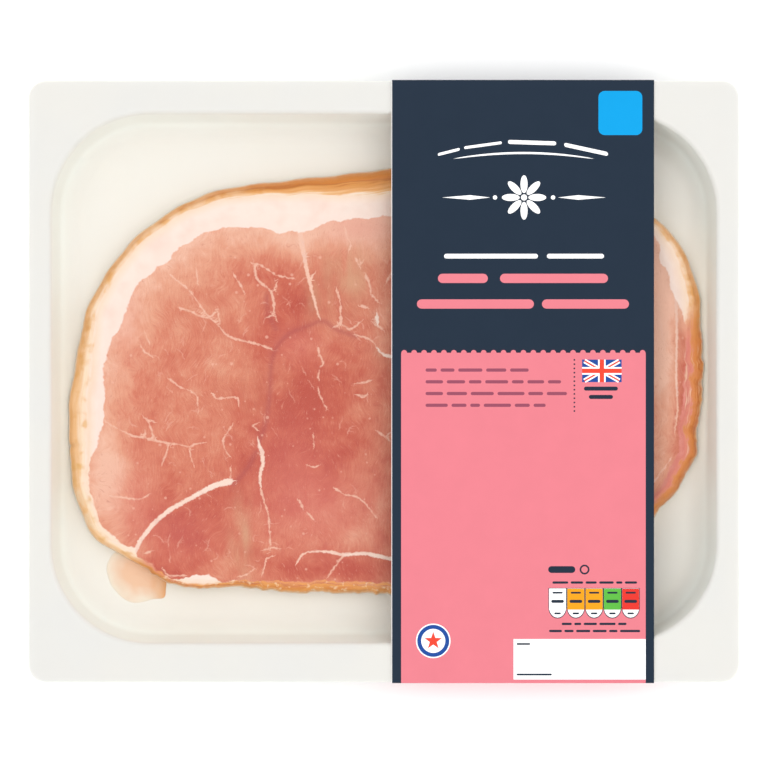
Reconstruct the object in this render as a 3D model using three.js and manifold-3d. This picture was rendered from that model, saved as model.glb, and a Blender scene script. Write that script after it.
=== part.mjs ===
// A pack of gammon steak: a shallow thermoformed tray, one cut steak lying in it, a clear lid
// film sealed to the rim, and a band of card wrapped once round the tray and the film.
//
// Millimetres. +X runs along the pack's long side, +Y across it and +Z up, away from the side
// it lies on. The origin is on that side, under the middle of the pack.
import * as THREE from "three";
import { mergeVertices } from "three/addons/utils/BufferGeometryUtils.js";
import Module from "manifold-3d";

const { clamp, degToRad, smoothstep } = THREE.MathUtils;

// ---- Driving dimensions ----

// The whole pack.
const PACK_LENGTH = 230; // over the tray's rim, along X
const PACK_DEPTH = 195.4; // over the sleeve, along Y
const RIM_HEIGHT = 17.5; // from the ground to the top of the tray's rim

// The tray, formed from one sheet.
const TRAY_SHEET = 0.5;
const RIM_CORNER = 5.5; // radius of the rim's corners, seen from above
const WELL_LENGTH = 218.6; // crease to crease, where the rim turns down into the well
const WELL_DEPTH = 174.6;
const WELL_SHIFT = 1.0; // the rim is wider at the -Y side, so the well sits off centre
const WELL_CORNER = 33.5; // radius of the crease's corners, seen from above
const RIM_BEND = 1.8; // radius over which the rim turns down into the wall
const FLOOR_FILLET = 8; // radius between the wall and the floor
const WALL_DRAFT = degToRad(12); // lean of the wall, so that trays nest

// The lid film and the card sleeve.
const FILM_SHEET = 0.25;
const SLEEVE_CARD = 0.32;
const SLEEVE_FROM = 2.5; // the sleeve's two cut edges, along X
const SLEEVE_TO = 87.5;
const SLEEVE_ROOM = 0.05; // slack between the sleeve's folds and the tray's rim
const SLEEVE_FOOT = 4.7; // how far the lower folds stand outside the flat of the floor

// The steak, cut across the leg.
const STEAK_THICKNESS = 7.7;
const FLAP_THICKNESS = 2.8; // of the loose end of fat at one corner
const FAT_CROWN = 0.4; // the fat round the edge stands this far above the lean
const CROWN_FALL = [0.8, 1.3]; // it falls away between these shares of the fat's width
const SEAM_DEPTH = 0.4; // the seams between the muscles are shallow grooves
const SEAM_REACH = 1.9; // half width of such a groove
const MUSCLE_CROWN = 0.45; // each muscle bulges a little where the knife has freed it
const SHOULDER_DROP = 0.8; // rounding of the top edge
const SHOULDER_REACH = 1.1;
const LEAN_WAVE = 0.16; // height of the long, low waves left by the slicing
const WAVE_RUNS = [
  [9, 17],
  [-21, 8],
]; // each wave's run along X and along Y, for one radian of it
const RIND_BUMP = 0.35; // height of the short bumps along the rind
const RIND_BUMP_TURNS = [61, 187]; // radians of the two waves that the bumps are made of
const STREAKY_EXTRA = 1.6; // the streaky end is bumpier by this much
const STREAKY_FROM = new THREE.Vector2(60, 12); // the streaky end begins here,
const STREAKY_TO = new THREE.Vector2(95, -20); // and is full from here
const UNDERCUT = 0.5; // rounding of the bottom edge
const FILLET_LIFT = 0.2; // keeps the steak's ends off the facets of the tray's fillet
const LIFT_RUN = 2; // that lift starts this far inside the fillet's foot

// ---- Fineness of the faceted surfaces ----

const CORNER_STEPS = 9;
const BEND_STEPS = 4;
const FILLET_STEPS = 6;
const STEAK_STEPS = 132; // round the steak's edge
const TOP_RINGS = 22;
const RING_CROWDING = 1.25; // over 1, the rings lie closer together near the edge
const SIDE_RINGS = 5;
const UNDER_SHARES = [0.95, 0.88, 0.76]; // rings of the underside, as shares of the way out
const FLAP_STEPS = 28;
const FLAP_RINGS = 4;
const FLAP_LIP = 0.3; // how many rings' worth the flap's edge stops short of the floor
const FLAP_FOOT = 0.97; // its foot, as a share of the way out
const WELD = 1e-4; // points closer than this are one
const SEAM_SAMPLES = 24;

// ---- Lengths that follow ----

const TRAY_BASE = SLEEVE_CARD; // the tray stands on the sleeve's bottom panel
const FLOOR_TOP = TRAY_BASE + TRAY_SHEET;
const FILM_TOP = RIM_HEIGHT + FILM_SHEET;
const SLEEVE_HALF = PACK_DEPTH / 2;
const TRAY_HALF_X = PACK_LENGTH / 2;
const TRAY_HALF_Y = SLEEVE_HALF - SLEEVE_CARD - SLEEVE_ROOM;

// The wall between the two bends, and how far in from the crease the flat floor begins.
const WALL_SLOPE = Math.PI / 2 - WALL_DRAFT;
const WALL_LENGTH =
  (RIM_HEIGHT - FLOOR_TOP - (RIM_BEND + FLOOR_FILLET) * (1 - Math.cos(WALL_SLOPE))) /
  Math.sin(WALL_SLOPE);
const FLOOR_INSET =
  (RIM_BEND + FLOOR_FILLET) * Math.sin(WALL_SLOPE) + WALL_LENGTH * Math.cos(WALL_SLOPE);

// ---- Shared makers ----

// A rounded rectangle at one height, run counter-clockwise as seen from above.
function roundedRing(halfX, halfY, radius, z, centreY = 0) {
  const points = [];
  for (let corner = 0; corner < 4; corner++) {
    const start = (corner * Math.PI) / 2;
    const x = (halfX - radius) * Math.sign(Math.cos(start + Math.PI / 4));
    const y = (halfY - radius) * Math.sign(Math.sin(start + Math.PI / 4)) + centreY;
    for (let step = 0; step <= CORNER_STEPS; step++) {
      const angle = start + (step / CORNER_STEPS) * (Math.PI / 2);
      points.push(
        new THREE.Vector3(x + radius * Math.cos(angle), y + radius * Math.sin(angle), z),
      );
    }
  }
  return points;
}

// A closed skin over rings of equally many points. It starts at a point on top, runs out from
// ring to ring, round the edge and back in below, and ends at a point underneath.
function skinOver(topPoint, rings, bottomPoint) {
  const count = rings[0].length;
  const points = [topPoint, ...rings.flat(), bottomPoint];
  const last = points.length - 1;
  const faces = [];
  for (let i = 0; i < count; i++) {
    const j = (i + 1) % count;
    faces.push(0, 1 + i, 1 + j);
    for (let ring = 0; ring < rings.length - 1; ring++) {
      const inner = 1 + ring * count;
      const outer = inner + count;
      faces.push(inner + i, outer + i, outer + j);
      faces.push(inner + i, outer + j, inner + j);
    }
    const lowest = 1 + (rings.length - 1) * count;
    faces.push(last, lowest + j, lowest + i);
  }
  const geometry = new THREE.BufferGeometry().setFromPoints(points);
  geometry.setIndex(faces);
  geometry.computeVertexNormals();
  return geometry;
}

// ---- Tray ----

// The sheet's section from the crease in to the floor, as [inset, height] pairs. A surface that
// lies into the sheet keeps the same bend centres, so the sheet has one thickness throughout.
function traySection(into) {
  const section = [];
  for (let step = 0; step <= BEND_STEPS; step++) {
    const angle = (step / BEND_STEPS) * WALL_SLOPE;
    const radius = RIM_BEND - into;
    section.push([
      radius * Math.sin(angle),
      RIM_HEIGHT - RIM_BEND + radius * Math.cos(angle),
    ]);
  }
  for (let step = 0; step <= FILLET_STEPS; step++) {
    const angle = (1 - step / FILLET_STEPS) * WALL_SLOPE;
    const radius = FLOOR_FILLET + into;
    section.push([
      FLOOR_INSET - radius * Math.sin(angle),
      FLOOR_TOP + FLOOR_FILLET - radius * Math.cos(angle),
    ]);
  }
  return section;
}

function wellRings(into) {
  return traySection(into).map(([inset, z]) =>
    roundedRing(
      WELL_LENGTH / 2 - inset,
      WELL_DEPTH / 2 - inset,
      WELL_CORNER - inset,
      z,
      WELL_SHIFT,
    ),
  );
}

function rimRing(z) {
  return roundedRing(TRAY_HALF_X, TRAY_HALF_Y, RIM_CORNER, z);
}

function makeTray() {
  const rings = [
    ...wellRings(0).reverse(),
    rimRing(RIM_HEIGHT),
    rimRing(RIM_HEIGHT - TRAY_SHEET),
    ...wellRings(TRAY_SHEET),
  ];
  const floorMiddle = new THREE.Vector3(0, WELL_SHIFT, FLOOR_TOP);
  const baseMiddle = new THREE.Vector3(0, WELL_SHIFT, TRAY_BASE);
  return skinOver(floorMiddle, rings, baseMiddle);
}

// How far a place on the plan lies inside the crease.
function insetAt(x, y) {
  const beyondX = Math.abs(x) - (WELL_LENGTH / 2 - WELL_CORNER);
  const beyondY = Math.abs(y - WELL_SHIFT) - (WELL_DEPTH / 2 - WELL_CORNER);
  const outside = Math.hypot(Math.max(beyondX, 0), Math.max(beyondY, 0));
  return WELL_CORNER - outside - Math.min(Math.max(beyondX, beyondY), 0);
}

// What the steak lies on: the flat floor, and the foot of the fillet a little way up the wall.
function restHeight(x, y) {
  const upTheFillet = FLOOR_INSET - insetAt(x, y);
  const across = clamp(upTheFillet, 0, FLOOR_FILLET);
  const rise = FLOOR_FILLET - Math.sqrt(FLOOR_FILLET ** 2 - across ** 2);
  const lift = FILLET_LIFT * clamp(1 + upTheFillet / LIFT_RUN, 0, 1);
  return FLOOR_TOP + rise + lift;
}

// ---- Lid film ----

function makeLidFilm() {
  const outline = new THREE.Shape(rimRing(0).map(({ x, y }) => new THREE.Vector2(x, y)));
  const film = new THREE.ExtrudeGeometry(outline, { depth: FILM_SHEET, bevelEnabled: false });
  return film.translate(0, 0, RIM_HEIGHT);
}

// ---- Card sleeve ----

// How steeply the sleeve's sides slant in from under the rim to the feet of the tray's wall.
const SLEEVE_RIM_Y = TRAY_HALF_Y + SLEEVE_ROOM;
const SLEEVE_RIM_LOW = RIM_HEIGHT - TRAY_SHEET - SLEEVE_ROOM;
const SLEEVE_FOOT_Y = WELL_DEPTH / 2 - FLOOR_INSET + SLEEVE_FOOT;
function sleeveSlant(side) {
  const run = SLEEVE_RIM_Y - (SLEEVE_FOOT_Y + side * WELL_SHIFT);
  return Math.atan2(SLEEVE_RIM_LOW - SLEEVE_CARD, run);
}

// One line round the sleeve's section, on the plane of Y and Z: over the film, round the rim and
// slanting in under the tray. It lies a given way out from the card's inner face, and runs
// counter-clockwise.
function sleeveLine(out) {
  const halfLine = (side) => {
    const slant = sleeveSlant(side);
    const rimY = SLEEVE_RIM_Y + out;
    const lowCorner = SLEEVE_RIM_LOW - out * Math.tan((Math.PI / 2 - slant) / 2);
    const footY = SLEEVE_FOOT_Y + side * WELL_SHIFT + out * Math.tan(slant / 2);
    return [
      new THREE.Vector2(side * rimY, FILM_TOP + out),
      new THREE.Vector2(side * rimY, lowCorner),
      new THREE.Vector2(side * footY, SLEEVE_CARD - out),
    ];
  };
  return [...halfLine(1).reverse(), ...halfLine(-1)];
}

function makeSleeve() {
  const band = new THREE.Shape(sleeveLine(SLEEVE_CARD));
  band.holes.push(new THREE.Path(sleeveLine(0)));
  const depth = SLEEVE_TO - SLEEVE_FROM;
  const sleeve = new THREE.ExtrudeGeometry(band, { depth, bevelEnabled: false });
  // The section was drawn flat, so its own axes become Y and Z, and its depth runs along X.
  const upright = new THREE.Matrix4().makeBasis(
    new THREE.Vector3(0, 1, 0),
    new THREE.Vector3(0, 0, 1),
    new THREE.Vector3(1, 0, 0),
  );
  return sleeve.applyMatrix4(upright).translate(SLEEVE_FROM, 0, 0);
}

// ---- Gammon steak ----

const STEAK_CENTRE = new THREE.Vector2(1, -4.4);

// The cut leg's outline, counter-clockwise from its right-hand end: x, y, the width that the
// slanting side shows from above (the rind), and the width of the white fat inside it.
const STEAK_EDGE = [
  [103.6, 8, 4.0, 1.5],
  [102.4, 29, 3.8, 4.5],
  [93.4, 48.9, 1.6, 5.5],
  [70, 60.6, 2.0, 6.0],
  [44, 67.6, 2.4, 6.5],
  [15, 70.0, 3.0, 7.0],
  [-8, 68.2, 3.6, 7.0],
  [-30, 65.6, 4.2, 9.0],
  [-49, 63.4, 4.0, 8.0],
  [-67, 57.0, 2.6, 8.0],
  [-83.5, 44.2, 2.4, 7.5],
  [-95.2, 26.9, 3.0, 8.0],
  [-100.9, 4, 5.2, 5.0],
  [-102.7, -17, 6.4, 3.6],
  [-100.4, -37, 3.8, 2.2],
  [-94, -51.4, 2.8, 2.0],
  [-84.6, -56.6, 2.0, 2.0],
  [-76.6, -62.2, 1.6, 1.0],
  [-66, -66.8, 1.6, 1.5],
  [-47, -67.2, 1.8, 1.5],
  [-30, -68.8, 2.0, 1.0],
  [1, -69, 2.0, 1.0],
  [32, -67.4, 2.0, 1.0],
  [63.5, -59.4, 2.4, 1.5],
  [88.6, -44.2, 3.0, 2.0],
  [100.3, -26, 3.4, 1.5],
  [103.4, -9, 3.6, 1.0],
];

// Seams of fat between the muscles, each a curve through a few places on the cut face.
const SEAMS = [
  // Down from the top fat, then round the left of the round muscle in the middle.
  [[-28.1, 50], [-26.5, 43.6], [-24.6, 34.5], [-21.2, 20.9]],
  [[-21.2, 20.5], [-30.4, 16.7], [-36.3, 8], [-37, -6], [-40, -21]],
  [[-40.8, -19.6], [-40.2, -30.3], [-39.6, -38], [-36.9, -51.7]],
  // The lower left muscle, cut off by a thick white line.
  [[-80.6, -54.9], [-78, -50], [-71.5, -43.2], [-64.7, -39], [-49.5, -32.6]],
  // Along the bottom, and down the right-hand end.
  [[-28, -59], [-20, -55], [2.5, -57], [34, -54], [64, -45]],
  [[93, 40], [94.6, 20], [95.3, 2], [94.4, -13], [88, -31]],
].map((places) => {
  const curve = new THREE.CatmullRomCurve3(places.map(([x, y]) => new THREE.Vector3(x, y, 0)));
  return curve.getPoints(SEAM_SAMPLES);
});

// The muscles' middles, each with the reach of its bulge.
const MUSCLES = [
  [6, -14, 42],
  [-64, 4, 34],
  [-2, 40, 26],
  [60, 12, 36],
  [-60, -54, 22],
];

function seamGroove(x, y) {
  let nearest = Infinity;
  for (const seam of SEAMS)
    for (const place of seam) nearest = Math.min(nearest, Math.hypot(x - place.x, y - place.y));
  return SEAM_DEPTH * Math.exp(-((nearest / SEAM_REACH) ** 2));
}

// Height of the cut face over the steak's flat thickness, at a place that lies fromEdge inside
// its top edge, where the fat is fatWidth wide.
function faceRelief(x, y, fromEdge, fatWidth) {
  const [fallFrom, fallTo] = CROWN_FALL.map((share) => share * fatWidth);
  const crown = FAT_CROWN * (1 - smoothstep(fromEdge, fallFrom, fallTo));
  const shoulder = SHOULDER_DROP * Math.exp(-fromEdge / SHOULDER_REACH);
  let waves = 0;
  for (const [runX, runY] of WAVE_RUNS) waves += LEAN_WAVE * Math.sin(x / runX + y / runY);
  let bulge = 0;
  for (const [middleX, middleY, reach] of MUSCLES) {
    const share = Math.hypot(x - middleX, y - middleY) / reach;
    bulge += MUSCLE_CROWN * Math.max(0, 1 - share ** 2);
  }
  return crown + bulge + waves - seamGroove(x, y) - shoulder;
}

// The rind isn't cut quite true: short, low bumps run along it, strongest at the end where the
// thin streaky muscles reach the edge.
function rindBump(along, x, y) {
  const streaky =
    smoothstep(x, STREAKY_FROM.x, STREAKY_TO.x) * smoothstep(-y, -STREAKY_FROM.y, -STREAKY_TO.y);
  const [slow, quick] = RIND_BUMP_TURNS;
  const bumps = Math.sin(along * slow) * Math.sin(along * quick + 1);
  return RIND_BUMP * (1 + STREAKY_EXTRA * streaky) * bumps;
}

function makeSteakBody() {
  const edge = new THREE.CatmullRomCurve3(
    STEAK_EDGE.map(([x, y]) => new THREE.Vector3(x, y, 0)),
    true,
  );
  const widths = new THREE.CatmullRomCurve3(
    STEAK_EDGE.map(([, , rind, fat]) => new THREE.Vector3(rind, fat, 0)),
    true,
    "catmullrom",
  );
  const places = [];
  for (let step = 0; step < STEAK_STEPS; step++) {
    const along = step / STEAK_STEPS;
    const t = edge.getUtoTmapping(along);
    const at = edge.getPoint(t);
    const outward = new THREE.Vector2(at.x, at.y).sub(STEAK_CENTRE);
    const reach = outward.length() + rindBump(along, at.x, at.y);
    const { x: rind, y: fat } = widths.getPoint(t);
    places.push({ outward: outward.normalize(), reach, rind, fat });
  }
  const top = FLOOR_TOP + STEAK_THICKNESS;

  // A point out from the centre, with its height worked out from where it lies.
  const outTo = ({ outward }, distance, heightOf) => {
    const x = STEAK_CENTRE.x + outward.x * distance;
    const y = STEAK_CENTRE.y + outward.y * distance;
    return new THREE.Vector3(x, y, heightOf(x, y));
  };
  const faceRing = (share) =>
    places.map((place) => {
      const shoulder = place.reach - place.rind;
      const distance = shoulder * share;
      return outTo(place, distance, (x, y) =>
        top + faceRelief(x, y, shoulder - distance, place.fat),
      );
    });
  // The side is a quarter of an ellipse, from the top edge down to just over the floor.
  const sideRing = (share) =>
    places.map((place) => {
      const angle = (share * Math.PI) / 2;
      const distance = place.reach - place.rind * (1 - Math.sin(angle));
      const shoulder = outTo(place, place.reach - place.rind, (x, y) =>
        top + faceRelief(x, y, 0, place.fat),
      );
      return outTo(place, distance, () => {
        const foot = restHeight(
          STEAK_CENTRE.x + place.outward.x * place.reach,
          STEAK_CENTRE.y + place.outward.y * place.reach,
        );
        const lowest = foot + UNDERCUT;
        return lowest + (shoulder.z - lowest) * Math.cos(angle);
      });
    });
  const underRing = (share) =>
    places.map((place) => outTo(place, (place.reach - UNDERCUT) * share, restHeight));

  const rings = [];
  for (let ring = TOP_RINGS - 1; ring >= 0; ring--)
    rings.push(faceRing(1 - (ring / TOP_RINGS) ** RING_CROWDING));
  for (let ring = 1; ring <= SIDE_RINGS; ring++) rings.push(sideRing(ring / SIDE_RINGS));
  rings.push(underRing(1));
  for (const share of UNDER_SHARES) rings.push(underRing(share));

  const { x, y } = STEAK_CENTRE;
  const middle = new THREE.Vector3(x, y, top + faceRelief(x, y, WELL_DEPTH, 0));
  return skinOver(middle, rings, new THREE.Vector3(x, y, FLOOR_TOP));
}

// The loose end of fat: a thin rounded lobe that runs out from under the steak's corner.
const FLAP_CENTRE = new THREE.Vector2(-80, -62.5);
const FLAP_EDGE = [
  [-70.9, -66.5],
  [-71.6, -58],
  [-80, -53],
  [-88.6, -56.8],
  [-90.2, -61.5],
  [-87.6, -68.2],
  [-81.6, -72.1],
  [-75, -70.8],
  [-71.6, -70.4],
];
function makeFlap() {
  const edge = new THREE.CatmullRomCurve3(
    FLAP_EDGE.map(([x, y]) => new THREE.Vector3(x, y, 0)),
    true,
  );
  const places = edge.getSpacedPoints(FLAP_STEPS).slice(0, FLAP_STEPS);
  const { x, y } = FLAP_CENTRE;
  const ringAt = (share, height) =>
    places.map(
      (place) =>
        new THREE.Vector3(x + (place.x - x) * share, y + (place.y - y) * share, FLOOR_TOP + height),
    );
  const rings = [];
  for (let ring = 1; ring <= FLAP_RINGS; ring++) {
    const angle = ((ring / (FLAP_RINGS + FLAP_LIP)) * Math.PI) / 2;
    rings.push(ringAt(Math.sin(angle), FLAP_THICKNESS * Math.cos(angle)));
  }
  rings.push(ringAt(FLAP_FOOT, 0));
  return skinOver(
    new THREE.Vector3(x, y, FLOOR_TOP + FLAP_THICKNESS),
    rings,
    new THREE.Vector3(x, y, FLOOR_TOP),
  );
}

// ---- Joining the flap to the steak ----

const wasm = await Module();
wasm.setup();

function toSolid(geometry) {
  const bare = geometry.clone();
  bare.deleteAttribute("normal");
  const merged = mergeVertices(bare, WELD);
  return new wasm.Manifold(
    new wasm.Mesh({
      numProp: 3,
      vertProperties: merged.attributes.position.array,
      triVerts: new Uint32Array(merged.index.array),
    }),
  );
}

function toGeometry(solid) {
  const { vertProperties, triVerts } = solid.getMesh();
  const geometry = new THREE.BufferGeometry();
  geometry.setAttribute("position", new THREE.BufferAttribute(vertProperties, 3));
  geometry.setIndex(new THREE.BufferAttribute(triVerts, 1));
  geometry.computeVertexNormals();
  return geometry;
}

function makeSteak() {
  return toGeometry(toSolid(makeSteakBody()).add(toSolid(makeFlap())));
}

// ---- The pack ----

function addPiece(group, name, geometry, finish) {
  const mesh = new THREE.Mesh(geometry, new THREE.MeshStandardMaterial(finish));
  mesh.name = name;
  group.add(mesh);
}

const pack = new THREE.Group();
addPiece(pack, "tray", makeTray(), { color: 0xf2eee4, roughness: 0.45, metalness: 0 });
addPiece(pack, "gammon_steak", makeSteak(), { color: 0xdf8f7a, roughness: 0.4, metalness: 0 });
addPiece(pack, "lid_film", makeLidFilm(), {
  color: 0xffffff,
  roughness: 0.08,
  metalness: 0,
  transparent: true,
  opacity: 0.12,
});
addPiece(pack, "sleeve", makeSleeve(), { color: 0x2c3947, roughness: 0.5, metalness: 0 });

export default pack;
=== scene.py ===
"""A pack of gammon steak: a shallow cream tray, one cured steak, a clear lid film and a card sleeve.

Lengths are millimetres unless a name says otherwise, and are turned to metres where a mesh is
made. +X runs along the pack, +Y across it and +Z up. The pack lies on z = 0.
"""
import math
from types import SimpleNamespace

import bpy
import numpy as np
from mathutils.geometry import delaunay_2d_cdt
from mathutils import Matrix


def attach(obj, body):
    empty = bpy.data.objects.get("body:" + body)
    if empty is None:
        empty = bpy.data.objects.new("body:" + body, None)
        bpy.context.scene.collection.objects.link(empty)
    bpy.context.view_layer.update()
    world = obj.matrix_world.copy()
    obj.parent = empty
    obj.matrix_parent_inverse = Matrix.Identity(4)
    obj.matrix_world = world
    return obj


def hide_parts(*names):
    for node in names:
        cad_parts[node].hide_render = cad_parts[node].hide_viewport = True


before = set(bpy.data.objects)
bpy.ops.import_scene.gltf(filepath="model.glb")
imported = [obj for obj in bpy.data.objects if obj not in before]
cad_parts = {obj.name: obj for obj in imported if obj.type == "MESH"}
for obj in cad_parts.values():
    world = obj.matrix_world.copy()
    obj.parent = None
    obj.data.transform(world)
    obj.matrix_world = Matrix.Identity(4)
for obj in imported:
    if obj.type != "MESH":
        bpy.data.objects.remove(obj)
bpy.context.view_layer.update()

MM = 0.001

# ---- Sizes of the pack, as the solids have them ----

PACK_LENGTH = 230.0
PACK_DEPTH = 195.4
RIM_HEIGHT = 17.5
TRAY_SHEET = 0.5
RIM_CORNER = 5.5
WELL_LENGTH = 218.6
WELL_DEPTH = 174.6
WELL_SHIFT = 1.0
WELL_CORNER = 33.5
RIM_BEND = 1.8
FLOOR_FILLET = 8.0
WALL_SLOPE = math.radians(90 - 12)
FILM_SHEET = 0.25
SLEEVE_CARD = 0.32
SLEEVE_FROM = 2.5
SLEEVE_TO = 87.5
SLEEVE_ROOM = 0.05
SLEEVE_FOOT = 4.7
STEAK_THICKNESS = 7.7
FLAP_THICKNESS = 2.8

TRAY_BASE = SLEEVE_CARD
FLOOR_TOP = TRAY_BASE + TRAY_SHEET
FILM_TOP = RIM_HEIGHT + FILM_SHEET
TRAY_HALF_X = PACK_LENGTH / 2
TRAY_HALF_Y = PACK_DEPTH / 2 - SLEEVE_CARD - SLEEVE_ROOM
WALL_LENGTH = (
    RIM_HEIGHT - FLOOR_TOP - (RIM_BEND + FLOOR_FILLET) * (1 - math.cos(WALL_SLOPE))
) / math.sin(WALL_SLOPE)
FLOOR_INSET = (RIM_BEND + FLOOR_FILLET) * math.sin(WALL_SLOPE) + WALL_LENGTH * math.cos(WALL_SLOPE)


# ---- Camera and light ----

CAMERA_LENS = 400.0  # a long lens, because the photograph shows almost no perspective
SENSOR = 36.0
VIEW_WIDTH = 248.76  # what the square picture takes in, at the height of the tray's rim
VIEW_CENTRE = (0.05, -0.81)
NEAREST_SEEN, FARTHEST_SEEN = 0.1, 20.0  # metres


def hang_camera():
    camera = bpy.data.cameras.new("camera")
    camera.lens = CAMERA_LENS
    camera.sensor_width = SENSOR
    camera.clip_start = NEAREST_SEEN
    camera.clip_end = FARTHEST_SEEN
    distance = VIEW_WIDTH * CAMERA_LENS / SENSOR
    holder = bpy.data.objects.new("camera", camera)
    holder.location = (VIEW_CENTRE[0] * MM, VIEW_CENTRE[1] * MM, (RIM_HEIGHT + distance) * MM)
    bpy.context.scene.collection.objects.link(holder)
    bpy.context.scene.camera = holder


# Four large soft boxes stand round the pack, each: azimuth in degrees, watts.
SOFT_BOXES = [(90, 0.7), (0, 1.1), (180, 0.3), (270, 0.3)]
SOFT_BOX_SIZE = 1.0  # metres
SOFT_BOX_DISTANCE = 1.25
SOFT_BOX_ELEVATION = math.radians(45)
TENT_LIGHT = 1.11  # a white light tent stands round it all, open above for the camera
TENT_BANDS = [(0, 0.8), (45, 0.9), (62, 1.7), (78, 1.7), (84, 0.3)]  # elevation, brightness


def light_studio():
    for number, (azimuth, watts) in enumerate(SOFT_BOXES):
        lamp = bpy.data.lights.new(f"soft_box_{number}", "AREA")
        lamp.shape = "SQUARE"
        lamp.size = SOFT_BOX_SIZE
        lamp.energy = watts
        turn = math.radians(azimuth)
        flat = math.cos(SOFT_BOX_ELEVATION) * SOFT_BOX_DISTANCE
        holder = bpy.data.objects.new(lamp.name, lamp)
        holder.location = (
            flat * math.cos(turn),
            flat * math.sin(turn),
            math.sin(SOFT_BOX_ELEVATION) * SOFT_BOX_DISTANCE,
        )
        # A lamp shines along its own -Z, so it is tilted back from straight down, then turned.
        holder.rotation_euler = (0, math.pi / 2 - SOFT_BOX_ELEVATION, turn)
        bpy.context.scene.collection.objects.link(holder)
    hang_tent()
    bpy.context.scene.view_settings.view_transform = "Standard"


def hang_tent():
    """A world that is lit in level bands, so that the pack is lit from all round."""
    world = bpy.data.worlds.new("light_tent")
    world.use_nodes = True
    tree = world.node_tree
    direction = add_node(tree, "ShaderNodeTexCoord").outputs["Generated"]
    upward = add_node(tree, "ShaderNodeSeparateXYZ", {0: direction}).outputs["Z"]
    bands = add_node(tree, "ShaderNodeValToRGB", {"Fac": upward})
    set_stops(bands, [(math.sin(math.radians(e)), (b, b, b, 1)) for e, b in TENT_BANDS])
    connect(tree, tree.nodes["Background"], {"Color": bands, "Strength": TENT_LIGHT})
    bpy.context.scene.world = world


# ---- Shared makers ----


def linear(code):
    """An sRGB hex colour as the linear colour that a shader takes."""
    shades = [int(code[i : i + 2], 16) / 255 for i in (0, 2, 4)]
    return tuple(c / 12.92 if c <= 0.04045 else ((c + 0.055) / 1.055) ** 2.4 for c in shades) + (1,)


def socket_of(sockets, key):
    """A socket by its number, or the first shown one of that name."""
    if isinstance(key, int):
        return sockets[key]
    return next(s for s in sockets if s.enabled and s.name == key)


def connect(tree, node, inputs):
    """Fills a node's inputs. Each takes a value, a socket, or another node's first shown output."""
    for key, value in inputs.items():
        target = socket_of(node.inputs, key)
        if isinstance(value, bpy.types.Node):
            value = next(s for s in value.outputs if s.enabled)
        if isinstance(value, bpy.types.NodeSocket):
            tree.links.new(value, target)
        else:
            target.default_value = value


def add_node(tree, kind, inputs=None, **settings):
    """Adds a node with its settings and its inputs."""
    node = tree.nodes.new(kind)
    for name, value in settings.items():
        setattr(node, name, value)
    connect(tree, node, inputs or {})
    return node


def lay_over(tree, colour, layers):
    """Lays colours over a first one. Each layer has the value that says where it lies, the
    values at which it is absent and full, how strong it is when full, and its colour."""
    for value, absent, full, strength, over in layers:
        share = add_node(
            tree,
            "ShaderNodeMapRange",
            {"Value": value, "From Min": absent, "From Max": full, "To Max": strength},
        )
        colour = add_node(
            tree,
            "ShaderNodeMix",
            {"Factor": share, "A": colour, "B": over},
            data_type="RGBA",
        )
    return colour


def set_stops(ramp, stops):
    elements = ramp.color_ramp.elements
    while len(elements) < len(stops):
        elements.new(0.5)
    for element, (position, colour) in zip(elements, stops):
        element.position = position
        element.color = colour


def add_ramp(tree, value, shades):
    """A colour ramp along a value, from places and hex colours."""
    ramp = add_node(tree, "ShaderNodeValToRGB", {"Fac": value})
    set_stops(ramp, [(position, linear(shade)) for position, shade in shades])
    return ramp


def start_material(name, **shader_values):
    """A material with one Principled shader, and the values that are the same all over it."""
    material = bpy.data.materials.new(name)
    material.use_nodes = True
    tree = material.node_tree
    surface = tree.nodes["Principled BSDF"]
    for key, value in shader_values.items():
        surface.inputs[key.replace("_", " ")].default_value = value
    return material, tree, surface


def make_piece(name, points, faces, materials, face_materials=None, fields=None, sharp=None):
    """A mesh object from points in millimetres, with a number or vector for each point in fields.
    With sharp, edges that turn by more than that many degrees stay crisp."""
    mesh = bpy.data.meshes.new(name)
    mesh.from_pydata((np.asarray(points, dtype=float) * MM).tolist(), [], faces)
    mesh.polygons.foreach_set("use_smooth", [True] * len(mesh.polygons))
    if sharp is not None:
        mesh.set_sharp_from_angle(angle=math.radians(sharp))
    for material in materials:
        mesh.materials.append(material)
    if face_materials is not None:
        mesh.polygons.foreach_set("material_index", face_materials)
    for field, values in (fields or {}).items():
        values = np.asarray(values, dtype=np.float32)
        if values.ndim == 2:
            mesh.attributes.new(field, "FLOAT_VECTOR", "POINT").data.foreach_set("vector", values.ravel())
        else:
            mesh.attributes.new(field, "FLOAT", "POINT").data.foreach_set("value", values)
    mesh.update()
    piece = bpy.data.objects.new(name, mesh)
    bpy.context.scene.collection.objects.link(piece)
    return piece


def soft_step(value, low, high):
    share = np.clip((value - low) / (high - low), 0, 1)
    return share * share * (3 - 2 * share)


NOISE_CELLS = 64
NOISE_SHIFT = 900  # cells from the noise's first corner to the middle of the pack


def soft_noise(x, y, size, seed):
    """Smooth random waves between -1 and 1, about size across."""
    lattice = np.random.default_rng(seed).uniform(-1, 1, (NOISE_CELLS, NOISE_CELLS))
    u, v = x / size + NOISE_SHIFT, y / size + NOISE_SHIFT
    i, j = np.floor(u).astype(int), np.floor(v).astype(int)
    a, b = u - i, v - j
    a, b = a * a * (3 - 2 * a), b * b * (3 - 2 * b)

    def corner(right, up):
        return lattice[(i + right) % NOISE_CELLS, (j + up) % NOISE_CELLS]

    near = corner(0, 0) * (1 - a) + corner(1, 0) * a
    far = corner(0, 1) * (1 - a) + corner(1, 1) * a
    return near * (1 - b) + far * b


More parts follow.
